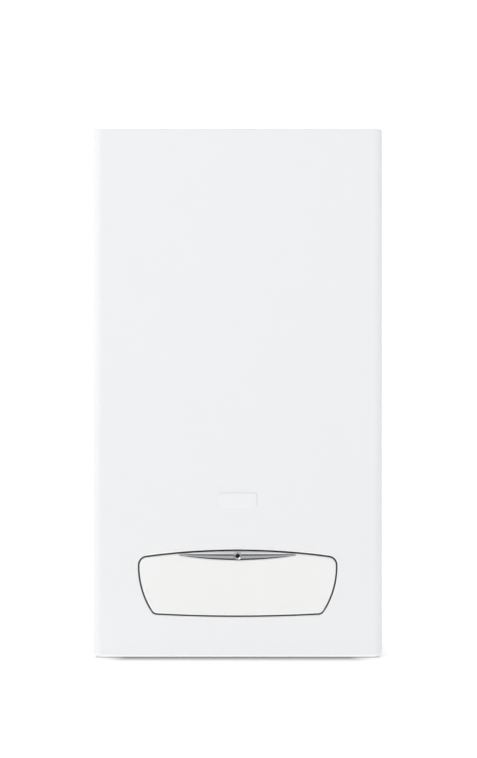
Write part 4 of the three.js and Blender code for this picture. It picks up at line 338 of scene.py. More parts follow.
def flap_outline():
    """The gap's centre line as (x, z, normal x, normal z), counter-clockwise from the front."""
    upper = tangent_corner(FLAP_TOP, FLAP_SIDE, FLAP_TOP_CORNER)
    lower = tangent_corner(FLAP_BOTTOM, FLAP_SIDE, FLAP_BOTTOM_CORNER)

    def heading(circle, other):
        return atan2(other[1] - circle[1], other[0] - circle[0])

    top, bottom = heading(FLAP_TOP, upper), heading(FLAP_BOTTOM, lower)
    high, low = heading(FLAP_SIDE, upper), heading(FLAP_SIDE, lower)
    right = [(1, lower, bottom, low, 12), (1, FLAP_SIDE, low, high, 30), (1, upper, high, top, 12)]
    left = [(-1, circle, pi - end, pi - start, steps) for _, circle, start, end, steps in reversed(right)]
    over, under = (1, FLAP_TOP, top, pi - top, 56), (1, FLAP_BOTTOM, -pi - bottom, bottom, 48)
    points = []
    for way, (x, z, radius), start, end, steps in (*right, over, *left, under):
        for i in range(steps):
            turn = start + (end - start) * i / steps
            points.append((way * x + radius * cos(turn), z + radius * sin(turn), cos(turn), sin(turn)))
    return points


def offset_loop(outline, offsets, depths):
    """The outline moved out by offsets and set at depths; each may be one number or one per point."""
    lists = [each if isinstance(each, list) else [each] * len(outline) for each in (offsets, depths)]
    return [
        Vector((x + nx * offset, FRONT + depth, z + nz * offset))
        for (x, z, nx, nz), offset, depth in zip(outline, *lists)
    ]


def rounding_inset(radius, depth):
    """How far a rounded edge stands in, at a depth behind the front."""
    reach = radius - min(depth, radius)
    return radius - sqrt(max(0.0, radius**2 - reach**2))


def rounded_rectangle(half, low, high, low_radius, high_radius, y):
    """An upright rounded rectangle, counter-clockwise from the front."""
    corners = (
        (half - low_radius, low + low_radius, low_radius, -90),
        (half - high_radius, high - high_radius, high_radius, 0),
        (high_radius - half, high - high_radius, high_radius, 90),
        (low_radius - half, low + low_radius, low_radius, 180),
    )
    points = []
    for x, z, radius, start in corners:
        for turn in (radians(start + 15 * i) for i in range(7)):
            points.append(Vector((x + radius * cos(turn), y, z + radius * sin(turn))))
    return points


def top_edge(x):
    """Height of the flap's top edge at a place across it."""
    radius = FLAP_TOP[2] - FLAP_GAP / 2
    return FLAP_TOP[1] + sqrt(radius**2 - x**2)


def lens_low(x, low):
    """Height, at a place across, of a lens's lower edge whose middle is at a set height."""
    rise = top_edge(GRIP_HALF) - GRIP_TIP - low
    radius = (GRIP_HALF**2 + rise**2) / (2 * rise)
    return low + radius - sqrt(radius**2 - x**2)


# Nodes of the finishes


def add_node(tree, kind, inputs, **settings):
    """Adds a node: an input that is given a socket is linked to it, and any other is set."""
    node = tree.nodes.new(kind)
    for name, value in settings.items():
        setattr(node, name, value)
    for label, value in inputs.items():
        if isinstance(value, NodeSocket):
            tree.links.new(value, node.inputs[label])
        else:
            node.inputs[label].default_value = value
    return node


def object_place(tree):
    return add_node(tree, "ShaderNodeTexCoord", {}).outputs["Object"]


def maths(tree, operation, *values, clamp=False):
    inputs = dict(enumerate(values))
    return add_node(tree, "ShaderNodeMath", inputs, operation=operation, use_clamp=clamp).outputs[0]


def vector_maths(tree, operation, first, second):
    node = add_node(tree, "ShaderNodeVectorMath", {0: first, 1: second}, operation=operation)
    return node.outputs["Value" if operation == "LENGTH" else "Vector"]


def map_range(tree, value, start, end, low, high):
    inputs = {"Value": value, "From Min": start, "From Max": end, "To Min": low, "To Max": high}
    return add_node(tree, "ShaderNodeMapRange", inputs).outputs["Result"]


def noise(tree, vector, scale, **more):
    return add_node(tree, "ShaderNodeTexNoise", {"Vector": vector, "Scale": scale, **more}).outputs["Fac"]


def mix_colours(tree, factor, first, second):
    inputs = {"Factor": factor, "A": first, "B": second}
    return add_node(tree, "ShaderNodeMix", inputs, data_type="RGBA").outputs["Result"]


def new_group(name, inputs, outputs):
    """An empty shader group with named sockets, and the sockets to build between."""
    group = bpy.data.node_groups.new(name, "ShaderNodeTree")
    kinds = {1: "NodeSocketFloat", 3: "NodeSocketVector", 4: "NodeSocketColor"}
    for label, value in inputs.items():
        kind = kinds[1 if isinstance(value, float) else len(value)]
        group.interface.new_socket(label, in_out="INPUT", socket_type=kind).default_value = value
    for label, size in outputs.items():
        group.interface.new_socket(label, in_out="OUTPUT", socket_type=kinds[size])
    return group, group.nodes.new("NodeGroupInput").outputs, group.nodes.new("NodeGroupOutput").inputs


@cache
def tone_drift_group():
    """Slow changes of tone across a surface."""
    inputs = {"Color": (0.8, 0.8, 0.8, 1), "Second Color": (0.7, 0.7, 0.7, 1), "Scale": 6.0, "Amount": 0.3}
    group, start, end = new_group("tone drift", inputs, {"Color": 4})
    cloud = noise(group, object_place(group), start["Scale"], Detail=4.0)
    amount = maths(group, "MULTIPLY", cloud, start["Amount"])
    group.links.new(mix_colours(group, amount, start["Color"], start["Second Color"]), end["Color"])
    return group


@cache
def fine_grain_group():
    """Fine grain, stretched along an axis where the stretch isn't even: a height and a roughness."""
    inputs = {"Scale": 400.0, "Stretch": (1, 1, 1), "Roughness": 0.4, "Spread": 0.1}
    group, start, end = new_group("fine grain", inputs, {"Height": 1, "Roughness": 1})
    place = vector_maths(group, "MULTIPLY", object_place(group), start["Stretch"])
    grain = noise(group, place, start["Scale"], Detail=3.0)
    centred = maths(group, "SUBTRACT", grain, 0.5)
    rough = maths(group, "MULTIPLY_ADD", centred, start["Spread"], start["Roughness"], clamp=True)
    group.links.new(grain, end["Height"])
    group.links.new(rough, end["Roughness"])
    return group


@cache
def edge_wear_group():
    """A second colour along raised edges, broken up by noise."""
    inputs = {"Color": (0.8, 0.8, 0.8, 1), "Worn Color": (0.9, 0.9, 0.9, 1), "Amount": 0.4}
    group, start, end = new_group("edge wear", inputs, {"Color": 4})
    pointed = add_node(group, "ShaderNodeNewGeometry", {}).outputs["Pointiness"]
    raised = map_range(group, pointed, 0.52, 0.62, 0.0, 1.0)
    broken = maths(group, "MULTIPLY", raised, noise(group, object_place(group), 160.0))
    amount = maths(group, "MULTIPLY", broken, start["Amount"], clamp=True)
    group.links.new(mix_colours(group, amount, start["Color"], start["Worn Color"]), end["Color"])
    return group


@cache
def foot_shade_group():
    """A painted shadow: a colour that darkens close to the casing's foot."""
    inputs = {"Color": (0.9, 0.9, 0.9, 1), "Reach": 0.075, "Depth": 0.6}
    group, start, end = new_group("foot shade", inputs, {"Color": 4})
    nothing = (0, 0, 0)
    middle = (0, FRONT / 2 * MM, 0)
    half = (HALF_WIDTH * 0.78 * MM, -FRONT / 2 * MM, 1)
    last = object_place(group)
    for operation, other in (
        ("SUBTRACT", middle),
        ("ABSOLUTE", nothing),
        ("SUBTRACT", half),
        ("MAXIMUM", nothing),
        ("LENGTH", nothing),
    ):
        last = vector_maths(group, operation, last, other)
    near = map_range(group, last, 0.0, start["Reach"], 1.0, 0.0)
    shade = maths(group, "MULTIPLY", maths(group, "POWER", near, 3.0), start["Depth"])
    group.links.new(mix_colours(group, shade, start["Color"], (0, 0, 0, 1)), end["Color"])
    return group


# Finish name: colour, second colour, roughness, tone scale, tone amount, grain scale,
# grain height in millimetres, roughness spread
FINISHES = {
    "enamel": ((0.868, 0.872, 0.879), (0.853, 0.855, 0.859), 0.34, 3.0, 0.5, 900.0, 0.006, 0.05),
    "white_plastic": ((0.87, 0.868, 0.86), (0.85, 0.847, 0.838), 0.42, 5.0, 0.5, 1500.0, 0.004, 0.08),
    "badge_white": ((0.858, 0.862, 0.868), (0.846, 0.849, 0.853), 0.36, 9.0, 0.5, 1500.0, 0.003, 0.06),
    "silver": ((0.74, 0.745, 0.755), (0.62, 0.625, 0.64), 0.2, 9.0, 0.5, 700.0, 0.003, 0.16),
    "smoked_lens": ((0.006, 0.006, 0.008), (0.012, 0.012, 0.014), 0.08, 20.0, 0.4, 900.0, 0.0, 0.03),
    "zinc_steel": ((0.52, 0.54, 0.56), (0.37, 0.39, 0.41), 0.38, 60.0, 0.6, 900.0, 0.006, 0.2),
    "steel": ((0.5, 0.51, 0.52), (0.4, 0.405, 0.41), 0.3, 20.0, 0.5, 1100.0, 0.004, 0.16),
    "aluminium": ((0.56, 0.57, 0.58), (0.46, 0.465, 0.47), 0.46, 24.0, 0.5, 1300.0, 0.012, 0.16),
    "copper": ((0.62, 0.28, 0.16), (0.36, 0.16, 0.1), 0.3, 18.0, 0.6, 900.0, 0.004, 0.2),
    "brass": ((0.55, 0.42, 0.18), (0.42, 0.3, 0.13), 0.36, 22.0, 0.6, 1500.0, 0.01, 0.2),
    "cast_iron": ((0.035, 0.038, 0.042), (0.06, 0.062, 0.064), 0.55, 30.0, 0.6, 900.0, 0.03, 0.15),
    "red_paint": ((0.36, 0.02, 0.016), (0.28, 0.016, 0.014), 0.4, 8.0, 0.5, 700.0, 0.02, 0.12),
    "red_plastic": ((0.42, 0.02, 0.02), (0.34, 0.016, 0.016), 0.42, 20.0, 0.4, 1600.0, 0.008, 0.1),
    "blue_plastic": ((0.03, 0.11, 0.3), (0.025, 0.085, 0.24), 0.42, 20.0, 0.4, 1600.0, 0.008, 0.1),
    "dark_plastic": ((0.028, 0.029, 0.032), (0.04, 0.041, 0.044), 0.52, 14.0, 0.5, 1800.0, 0.012, 0.12),
    "grey_plastic": ((0.33, 0.345, 0.355), (0.29, 0.3, 0.31), 0.48, 10.0, 0.5, 1800.0, 0.012, 0.12),
    "ceramic": ((0.72, 0.69, 0.6), (0.6, 0.56, 0.48), 0.9, 40.0, 0.7, 700.0, 0.08, 0.1),
    "rubber": ((0.025, 0.024, 0.023), (0.045, 0.044, 0.042), 0.8, 30.0, 0.6, 1200.0, 0.02, 0.1),
    "silicone": ((0.62, 0.58, 0.46), (0.52, 0.48, 0.38), 0.5, 12.0, 0.5, 900.0, 0.006, 0.12),
    "board_green": ((0.012, 0.085, 0.04), (0.02, 0.14, 0.06), 0.36, 90.0, 0.8, 2200.0, 0.01, 0.12),
    "clear_glass": ((0.92, 0.96, 0.96), (0.88, 0.93, 0.94), 0.03, 20.0, 0.3, 900.0, 0.0, 0.02),
    "dial_white": ((0.82, 0.82, 0.8), (0.78, 0.78, 0.75), 0.5, 30.0, 0.4, 1500.0, 0.002, 0.06),
    "dial_ink": ((0.015, 0.015, 0.016), (0.03, 0.03, 0.03), 0.5, 30.0, 0.4, 1500.0, 0.001, 0.06),
}
WORN_COLOURS = {
    "zinc_steel": (0.7, 0.71, 0.72), "steel": (0.75, 0.75, 0.75), "aluminium": (0.75, 0.76, 0.77),
    "copper": (0.85, 0.5, 0.36), "brass": (0.8, 0.66, 0.36), "cast_iron": (0.2, 0.2, 0.2),
    "red_paint": (0.5, 0.08, 0.06), "dark_plastic": (0.1, 0.1, 0.1),
}
STRETCH = {"silver": (0.03, 1.0, 1.0), "steel": (0.2, 1.0, 1.0)}
SHADER_VALUES = {
    "enamel": {"Coat Weight": 0.6, "Coat Roughness": 0.15},
    "clear_glass": {"Transmission Weight": 1.0, "IOR": 1.45},
    "smoked_lens": {"Specular IOR Level": 0.25},
    "silver": {"Metallic": 1.0}, "steel": {"Metallic": 1.0}, "copper": {"Metallic": 1.0},
    "brass": {"Metallic": 1.0}, "zinc_steel": {"Metallic": 0.9}, "aluminium": {"Metallic": 0.9},
    "cast_iron": {"Metallic": 0.1},
}


@cache
def finish(name):
    """The material of a finish, made once."""
    first, second, rough, tone_scale, tone, grain_scale, height, spread = FINISHES[name]
    colour = tuple(getattr(bpy.context.scene.boiler_colours, name, first))
    second = tuple(value * other / start for value, other, start in zip(colour, second, first))
    material = bpy.data.materials.new(name)
    material.use_nodes = True
    tree = material.node_tree
    shader = tree.nodes["Principled BSDF"]
    for label, value in SHADER_VALUES.get(name, {}).items():
        shader.inputs[label].default_value = value
    inputs = {"Color": (*colour, 1), "Second Color": (*second, 1), "Scale": tone_scale, "Amount": tone}
    last = add_node(tree, "ShaderNodeGroup", inputs, node_tree=tone_drift_group()).outputs["Color"]
    if name in WORN_COLOURS:
        inputs = {"Color": last, "Worn Color": (*WORN_COLOURS[name], 1), "Amount": 0.5}
        last = add_node(tree, "ShaderNodeGroup", inputs, node_tree=edge_wear_group()).outputs["Color"]
    tree.links.new(last, shader.inputs["Base Color"])
    stretch = STRETCH.get(name, (1, 1, 1))
    inputs = {"Scale": grain_scale, "Stretch": stretch, "Roughness": rough, "Spread": spread}
    grain = add_node(tree, "ShaderNodeGroup", inputs, node_tree=fine_grain_group())
    tree.links.new(grain.outputs["Roughness"], shader.inputs["Roughness"])
    if height > 0:
        inputs = {"Distance": height * MM, "Height": grain.outputs["Height"]}
        bump = add_node(tree, "ShaderNodeBump", inputs)
        tree.links.new(bump.outputs["Normal"], shader.inputs["Normal"])
    return material


@cache
def smooth_by_angle_group():
    """A geometry group that shades smooth across edges below a set angle."""
    tree = bpy.data.node_groups.new("smooth by angle", "GeometryNodeTree")
    tree.interface.new_socket("Geometry", in_out="INPUT", socket_type="NodeSocketGeometry")
    tree.interface.new_socket("Angle", in_out="INPUT", socket_type="NodeSocketFloat")
    tree.interface.new_socket("Geometry", in_out="OUTPUT", socket_type="NodeSocketGeometry")
    start = tree.nodes.new("NodeGroupInput").outputs
    angle = add_node(tree, "GeometryNodeInputMeshEdgeAngle", {}).outputs["Unsigned Angle"]
    below = add_node(tree, "FunctionNodeCompare", {0: angle, 1: start["Angle"]}, operation="LESS_THAN")
    faces = add_node(tree, "GeometryNodeSetShadeSmooth", {"Geometry": start["Geometry"]})
    inputs = {"Geometry": faces.outputs["Geometry"], "Shade Smooth": below.outputs["Result"]}
    edges = add_node(tree, "GeometryNodeSetShadeSmooth", inputs, domain="EDGE")
    add_node(tree, "NodeGroupOutput", {"Geometry": edges.outputs["Geometry"]})
    return tree


# Pieces


def add_modifier(piece, kind, **settings):
    modifier = piece.modifiers.new(kind.lower(), kind)
    for name, value in settings.items():
        setattr(modifier, name, value)
    return modifier


def add_piece(bm, name, finish_name, body="root", node=None, sharp=SMOOTH_BELOW):
    """Makes a shape a piece that rides on a body, and stands for a node where one is named."""
    mesh = mesh_from(bm, name, sharp)
    mesh.materials.append(finish(finish_name))
    piece = bpy.data.objects.new(name, mesh)
    bpy.context.scene.collection.objects.link(piece)
    add_modifier(piece, "WEIGHTED_NORMAL", keep_sharp=True)
    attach(piece, body)
    if node:
        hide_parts(node)


# Large flat sheets, where a low angle keeps folds crisp, and a node whose edges stay as they are
FLAT_NODES = {"chamber_cover", "chamber_box", "control_box", "control_fascia", "back_frame", "top_panel",
              "connection_plate", "wall_bracket"}
PLAIN_EDGES = {"chamber_cover"}

# Finishes of the carried-over nodes
FRAME_NODES = {
    "zinc_steel": ("flap_hinge_left", "flap_hinge_right", "wall_bracket", "back_frame", "top_panel",
                   "connection_plate"),
    "grey_plastic": ("flap_catch",),
}
CHAMBER_NODES = {
    "zinc_steel": ("chamber_box",),
    "rubber": ("chamber_gasket",),
    "aluminium": ("chamber_cover", "burner_manifold"),
    "clear_glass": ("sight_glass",),
    "steel": ("combustion_chamber", "burner"),
    "ceramic": ("chamber_insulation", "ignition_electrode", "sensing_electrode"),
    "copper": ("heat_exchanger",),
}
FLUE_NODES = {
    "steel": ("flue_hood", "fan_impeller"),
    "aluminium": ("fan_housing",),
    "cast_iron": ("fan_motor",),
    "grey_plastic": ("air_pressure_switch",),
}
WATER_NODES = {
    "cast_iron": ("pump_body",),
    "grey_plastic": ("pump_impeller",),
    "brass": ("air_vent", "return_group", "cold_water_group", "diverter_valve"),
    "red_plastic": ("relief_knob",),
    "blue_plastic": ("filling_knob",),
    "dark_plastic": ("diverter_actuator",),
    "steel": ("plate_heat_exchanger",),
}
CONTROL_NODES = {
    "dark_plastic": ("control_box", "cable_gland", "power_switch"),
    "grey_plastic": ("control_fascia",),
    "board_green": ("circuit_board",),
    "red_plastic": ("reset_button",),
    "smoked_lens": ("display_window",),
    "clear_glass": ("gauge_glass",),
}


def dress(nodes):
    """Gives carried-over nodes their finishes and softened edges."""
    for finish_name, names in nodes.items():
        for name in names:
            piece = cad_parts[name]
            piece.material_slots[0].material = finish(finish_name)
            add_modifier(piece, "WELD", merge_threshold=WELD * MM)
            if name not in PLAIN_EDGES:
                add_modifier(piece, "BEVEL", width=SOFT_EDGE * MM, segments=2, limit_method="ANGLE",
                             angle_limit=radians(SOFTEN_ABOVE), use_clamp_overlap=True)
            smooth = add_modifier(piece, "NODES", node_group=smooth_by_angle_group())
            limit = smooth.node_group.interface.items_tree["Angle"].identifier
            smooth[limit] = radians(FLAT_BELOW if name in FLAT_NODES else SMOOTH_BELOW)
            add_modifier(piece, "WEIGHTED_NORMAL", keep_sharp=True)
    return {"FINISHED"}


# Settings


def length_property(name, description, default, **limits):
    return FloatProperty(name=name, description=description, default=default, unit="LENGTH", **limits)


class BoilerCasingSettings(PropertyGroup):
    """Sizes of the casing."""

    side_radius: length_property("Side edges", "Rounding of the two upright front edges", 0.012, min=0.003)
    bottom_radius: length_property("Bottom edge", "Rounding of the front's bottom edge", 0.0035, min=0.002)
    corner_radius: length_property("Bottom corners", "Rounding of the two bottom corners", 0.006, min=0.003)
    top_radius: length_property("Top edge", "Rounding of the front's top edge", 0.002, min=0.0015)
    lip_radius: length_property(
        "Opening lip", "Rounding of the sheet round the flap opening", 0.0018, min=0.0012, max=0.002
    )


class BoilerFlapSettings(PropertyGroup):
    """Sizes of the flap and its grip."""

    edge_radius: length_property("Flap edge", "Rounding of the flap's sides and bottom", 0.002, min=0.0005)
    shoulder_radius: length_property("Flap shoulder", "Rounding of the flap's top edge", 0.0028, min=0.0005)
    grip_rise: length_property("Grip rise", "Height of the grip's ridge above the flap", 0.0016, max=0.0016)


def colour_property(name, description):
    """A colour that a user can change, set at first to the finish's own colour."""
    default = FINISHES[name.lower().replace(" ", "_")][0]
    return FloatVectorProperty(
        name=name, description=description, subtype="COLOR", size=3, min=0.0, max=1.0, default=default
    )


class BoilerColourSettings(PropertyGroup):
    """Colours of the finishes."""

    enamel: colour_property("Enamel", "Paint of the casing")
    white_plastic: colour_property("White plastic", "Flap")
    silver: colour_property("Silver", "Grip and status ring")
    smoked_lens: colour_property("Smoked lens", "Status window and display")
    red_paint: colour_property("Red paint", "Expansion vessel")
    dark_plastic: colour_property("Dark plastic", "Control box and knobs")
    grey_plastic: colour_property("Grey plastic", "Control front")


class BoilerStageSettings(PropertyGroup):
    """Light and camera."""

    sky: FloatProperty(
        name="Sky", description="Strength of the even light from all round", default=0.497, min=0.0
    )
    key_power: FloatProperty(
        name="Key light", description="Power of the soft light from the upper left", default=20.0,
        min=0.0, unit="POWER",
    )
    bounce: FloatProperty(
        name="Bounce", description="Strength of the light that the floor throws back up", default=0.6,
        min=0.0,
    )
    distance: length_property("Camera distance", "From the casing's front to the camera", 3.0, min=1.0)
    floor_colour: FloatVectorProperty(
        name="Floor", description="Colour of the floor", subtype="COLOR", size=3,
        default=(0.93, 0.93, 0.93), min=0.0, max=1.0,
    )


# Operators


class BOILER_OT_casing(Operator):
    """Builds the folded casing with its flap opening and rounded edges"""

    bl_idname = "boiler.casing"
    bl_label = "Build Casing"

    def execute(self, context):
        sizes = context.scene.boiler_casing
        side, bottom = sizes.side_radius / MM, sizes.bottom_radius / MM
        corner, top, lip = sizes.corner_radius / MM, sizes.top_radius / MM, sizes.lip_radius / MM
        depths = {0.0}
        for radius, steps in ((side, 10), (bottom, 5), (top, 3)):
            depths |= {round(radius * (1 - cos(pi / 2 * i / steps)), 1) for i in range(1, steps + 1)}
        depths = sorted(depths)
        least_corner, rear, lap = 2.0, -3.0 - FRONT, 0.25

        def shell_loop(depth, inside):
            grown = min(1.0, depth / bottom)
            return rounded_rectangle(
                HALF_WIDTH - inside - rounding_inset(side - inside, depth),
                inside + rounding_inset(bottom - inside, depth),
                HEIGHT - inside - rounding_inset(top - inside, depth),
                least_corner + (corner - inside - least_corner) * grown,
                top - inside * 0.5,
                FRONT + inside + depth,
            )

        bm = bmesh.new()
        outer = [shell_loop(depth, 0.0) for depth in depths + [rear]]
        inner = [shell_loop(depth, SHEET) for depth in [rear - SHEET] + depths[::-1]]
        skin = loft(bm, outer + inner, caps=False)
        outline = flap_outline()
        edge, core = FLAP_GAP / 2, lip - SHEET
        turns = [pi / 2 * i / 6 for i in range(7)]
        sections = [(edge + lip - lip * sin(turn), lip - lip * cos(turn)) for turn in turns]
        sections += [(edge, lip + lap), (edge + SHEET, lip + lap)]
        sections += [(edge + lip - core * sin(turn), lip - core * cos(turn)) for turn in turns[::-2]]
        loops = [offset_loop(outline, offset, depth) for offset, depth in sections]
        opening = loft(bm, loops, caps=False)
        fill_between(bm, skin[0], opening[0])
        fill_between(bm, skin[-1], opening[-1])
        return self.finish_casing(bm)

    @staticmethod
    def finish_casing(bm):
        """Opens the top and the bottom, cuts the four tab slots and adds the fold along the foot."""
        tool = bmesh.new()
        top_cut = (HEIGHT - 2, HEIGHT + 3)
        add_block(tool, (-186, 186), (FRONT + 14, 5), top_cut)
        add_block(tool, (-197.5, 197.5), (FRONT + 12, 5), (-3, 6))
        for x in (-195.5, 195.5):
            for y in (0.2 * FRONT, 0.8 * FRONT):
                add_block(tool, (x - 1.5, x + 1.5), (y - 5, y + 12), top_cut)
        shell = cut_away(bm, tool)
        add_block(shell, (-188, 188), (FRONT + 11, FRONT + 12), (0.5, 8), 0.3)
        add_piece(shell, "casing_shell", "enamel", "casing", "front_casing")
        return {"FINISHED"}


class BOILER_OT_flap(Operator):
    """Builds the fold-down flap with its hollow back, hinge eyes and grip pocket"""

    bl_idname = "boiler.flap"
    bl_label = "Build Flap"

    def execute(self, context):
        sizes = context.scene.boiler_flap
        edge, shoulder = sizes.edge_radius / MM, sizes.shoulder_radius / MM
        outline = flap_outline()
        radii = []
        for _, _, _, nz in outline:
            share = min(1.0, max(0.0, (nz - 0.1) / 0.8))
            radii.append(edge + (shoulder - edge) * share * share * (3 - 2 * share))
        gap, rear = FLAP_GAP / 2, FLAP_REAR - FRONT
        sections = []
        for turn in (pi / 2 * i / 7 for i in range(8)):
            offsets = [-gap - radius * (1 - sin(turn)) for radius in radii]
            sections.append((offsets, [radius * (1 - cos(turn)) for radius in radii]))
        sections += [
            (-gap, rear - 0.4),
            (-gap - 0.4, rear),
            (-gap - FLAP_RIM + 0.3, rear),
            (-gap - FLAP_RIM, rear - 0.3),
            (-gap - FLAP_RIM, FLAP_SKIN + 0.6),
            (-gap - FLAP_RIM - 0.6, FLAP_SKIN),
        ]
        bm = bmesh.new()
        loft(bm, [offset_loop(outline, offset, depth) for offset, depth in sections])
        panel = cut_away(bm, self.pocket_tool())
        self.add_backing(panel)
        add_piece(panel, "flap_panel", "white_plastic", "flap", "control_flap")
        return {"FINISHED"}

    @staticmethod
    def pocket_tool():
        """The shape cut for the grip, flared at the front so that its lower edge is rounded."""
        flare, depth, tip, above = 1.9, 2.5, 0.5, 150
        turns = [pi / 2 * i / 6 for i in range(7)]
        sections = [(flare * (1 - sin(turn)), flare * 0.75 * (1 - cos(turn))) for turn in turns]
        loops = []
        for spread, y in [(flare * 1.04, -0.1), *sections, (0.0, depth)]:
            half = GRIP_HALF + tip + spread
            across = [half * (i / 30 - 1) for i in range(61)]
            low = [(x, lens_low(x * GRIP_HALF / half, POCKET_LOW) - spread) for x in across]
            loops.append([Vector((x, FRONT + y, z)) for x, z in low + [(half, above), (-half, above)]])
        bm = bmesh.new()
        loft(bm, loops)
        return bm

    @staticmethod
    def add_backing(bm):
        """Hinge eyes, ribs and the catch ledge behind the flap."""
        y, z = HINGE
        radius, seat = 3.6, 0.3
        arc = [radians(-90 + 15 * i) for i in range(13)]
        profile = [(y - seat, z - radius)]
        profile += [(y + radius * cos(turn), z + radius * sin(turn)) for turn in arc]
        profile.append((y - seat, z + radius))
        for way in (-1, 1):
            loft(bm, [[Vector((x, py, pz)) for py, pz in profile] for x in (way * 106.9, way * 114.9)])
        rib = (FRONT + FLAP_SKIN - 0.5, FRONT + FLAP_SKIN + 3.2)
        for x in (-72, 0, 72):
            add_block(bm, (x - 0.8, x + 0.8), rib, (60, 130), 0.25)
        add_block(bm, (-112, 112), rib, (94, 95.6), 0.25)


class BOILER_OT_grip(Operator):
    """Builds the silver lens-shaped grip, its status ring and dark window"""

    bl_idname = "boiler.grip"
    bl_label = "Build Grip"

    def execute(self, context):
        rise = context.scene.boiler_flap.grip_rise / MM
        self.build_bar(rise)
        # Painted shade: a dark rubber sheet on the pocket's floor behind the grip darkens the slot below the
        # grip.
        slot_shade_sheet = bmesh.new()
        low = [(x, lens_low(x, POCKET_LOW + 0.1)) for x in (GRIP_HALF * (i / 30 - 1) for i in range(61))]
        high = [(x, top_edge(x) - 0.2) for x, _ in reversed(low[1:-1])]
        loft(slot_shade_sheet, [[Vector((x, FRONT + depth, z)) for x, z in low + high] for depth in (1.75, 2.45)])
        add_piece(slot_shade_sheet, "grip_pad", "rubber", "flap")
        face, centre = FRONT - rise, (0, STATUS_Z)
        steps = [(3.1, 1.4), (3.1, 0.1), (5.1, -0.7), (5.35, -0.84), (5.55, -0.78), (5.7, -0.35), (5.7, 1.4)]
        bm = bmesh.new()
        add_turned(bm, "y", centre, [(radius, face + back) for radius, back in steps], 48, closed=True)
        add_piece(bm, "status_ring", "silver", "flap", sharp=60.0)
        dome = [(0, -0.25), (1.2, -0.2), (2.2, -0.08), (2.8, 0.1), (3.05, 0.35)]
        bm = bmesh.new()
        profile = [(radius, face + back) for radius, back in dome] + [(3.05, FRONT + 4), (0, FRONT + 4)]
        add_turned(bm, "y", centre, profile, 32)
        add_piece(bm, "status_window", "smoked_lens", "flap", "status_lens")
        return {"FINISHED"}

    @staticmethod
    def build_bar(rise):
        """The silver bar: a low ridge that runs out to a point at both ends."""
        stations, edge = 72, FRONT + 0.35
        loops = []
        for i in range(stations + 1):
            x = GRIP_HALF * sin(pi / 2 * (2 * i / stations - 1)) * 0.999
            swell = sqrt(max(0.0, 1 - (x / GRIP_HALF) ** 2))
            low, high = lens_low(x, GRIP_LOW_SEEN), top_edge(x) - 0.15
            tall = high - low
            crest = FRONT - rise * (0.1 + 0.9 * swell)
            ridge = low + tall * 0.52
            half, fall = 1.0 * swell + 0.03, 0.12 * swell
            section = [
                (GRIP_REAR, low + 0.1 * tall),
                (edge + 0.7, low),
                (edge + 0.15, low + 0.03 * tall),
                (edge, low + 0.08 * tall),
                (crest + fall, ridge - half - fall),
                (crest, ridge - half),
                (crest, ridge + half),
                (crest + fall, ridge + half + fall),
                (edge, high - 0.12 * tall),
                (edge + 0.25, high - 0.04 * tall),
                (edge + 0.7, high),
                (GRIP_REAR, high),
            ]
            loops.append([Vector((x, y, z)) for y, z in section])
        bm = bmesh.new()
        loft(bm, loops)
        add_piece(bm, "grip_bar", "silver", "flap", "flap_grip", 24.0)


class BOILER_OT_badge(Operator):
    """Builds the small bare plate above the flap"""

    bl_idname = "boiler.badge"
    bl_label = "Build Badge Plate"

    def execute(self, context):
        low, high = BADGE_SPAN
        loops = []
        rim = ((1.0, 0.0), (0.55, 0.05), (0.2, 0.2), (0.0, 0.45), (0.0, FRONT - BADGE_FRONT))
        for inset, back in rim:
            half, corner, y = BADGE_HALF - inset, 4 - inset, BADGE_FRONT + back
            loops.append(rounded_rectangle(half, low + inset, high - inset, corner, corner, y))
        bm = bmesh.new()
        loft(bm, loops)
        add_piece(bm, "badge_blank", "badge_white", "casing", "badge_plate", 50.0)
        return {"FINISHED"}


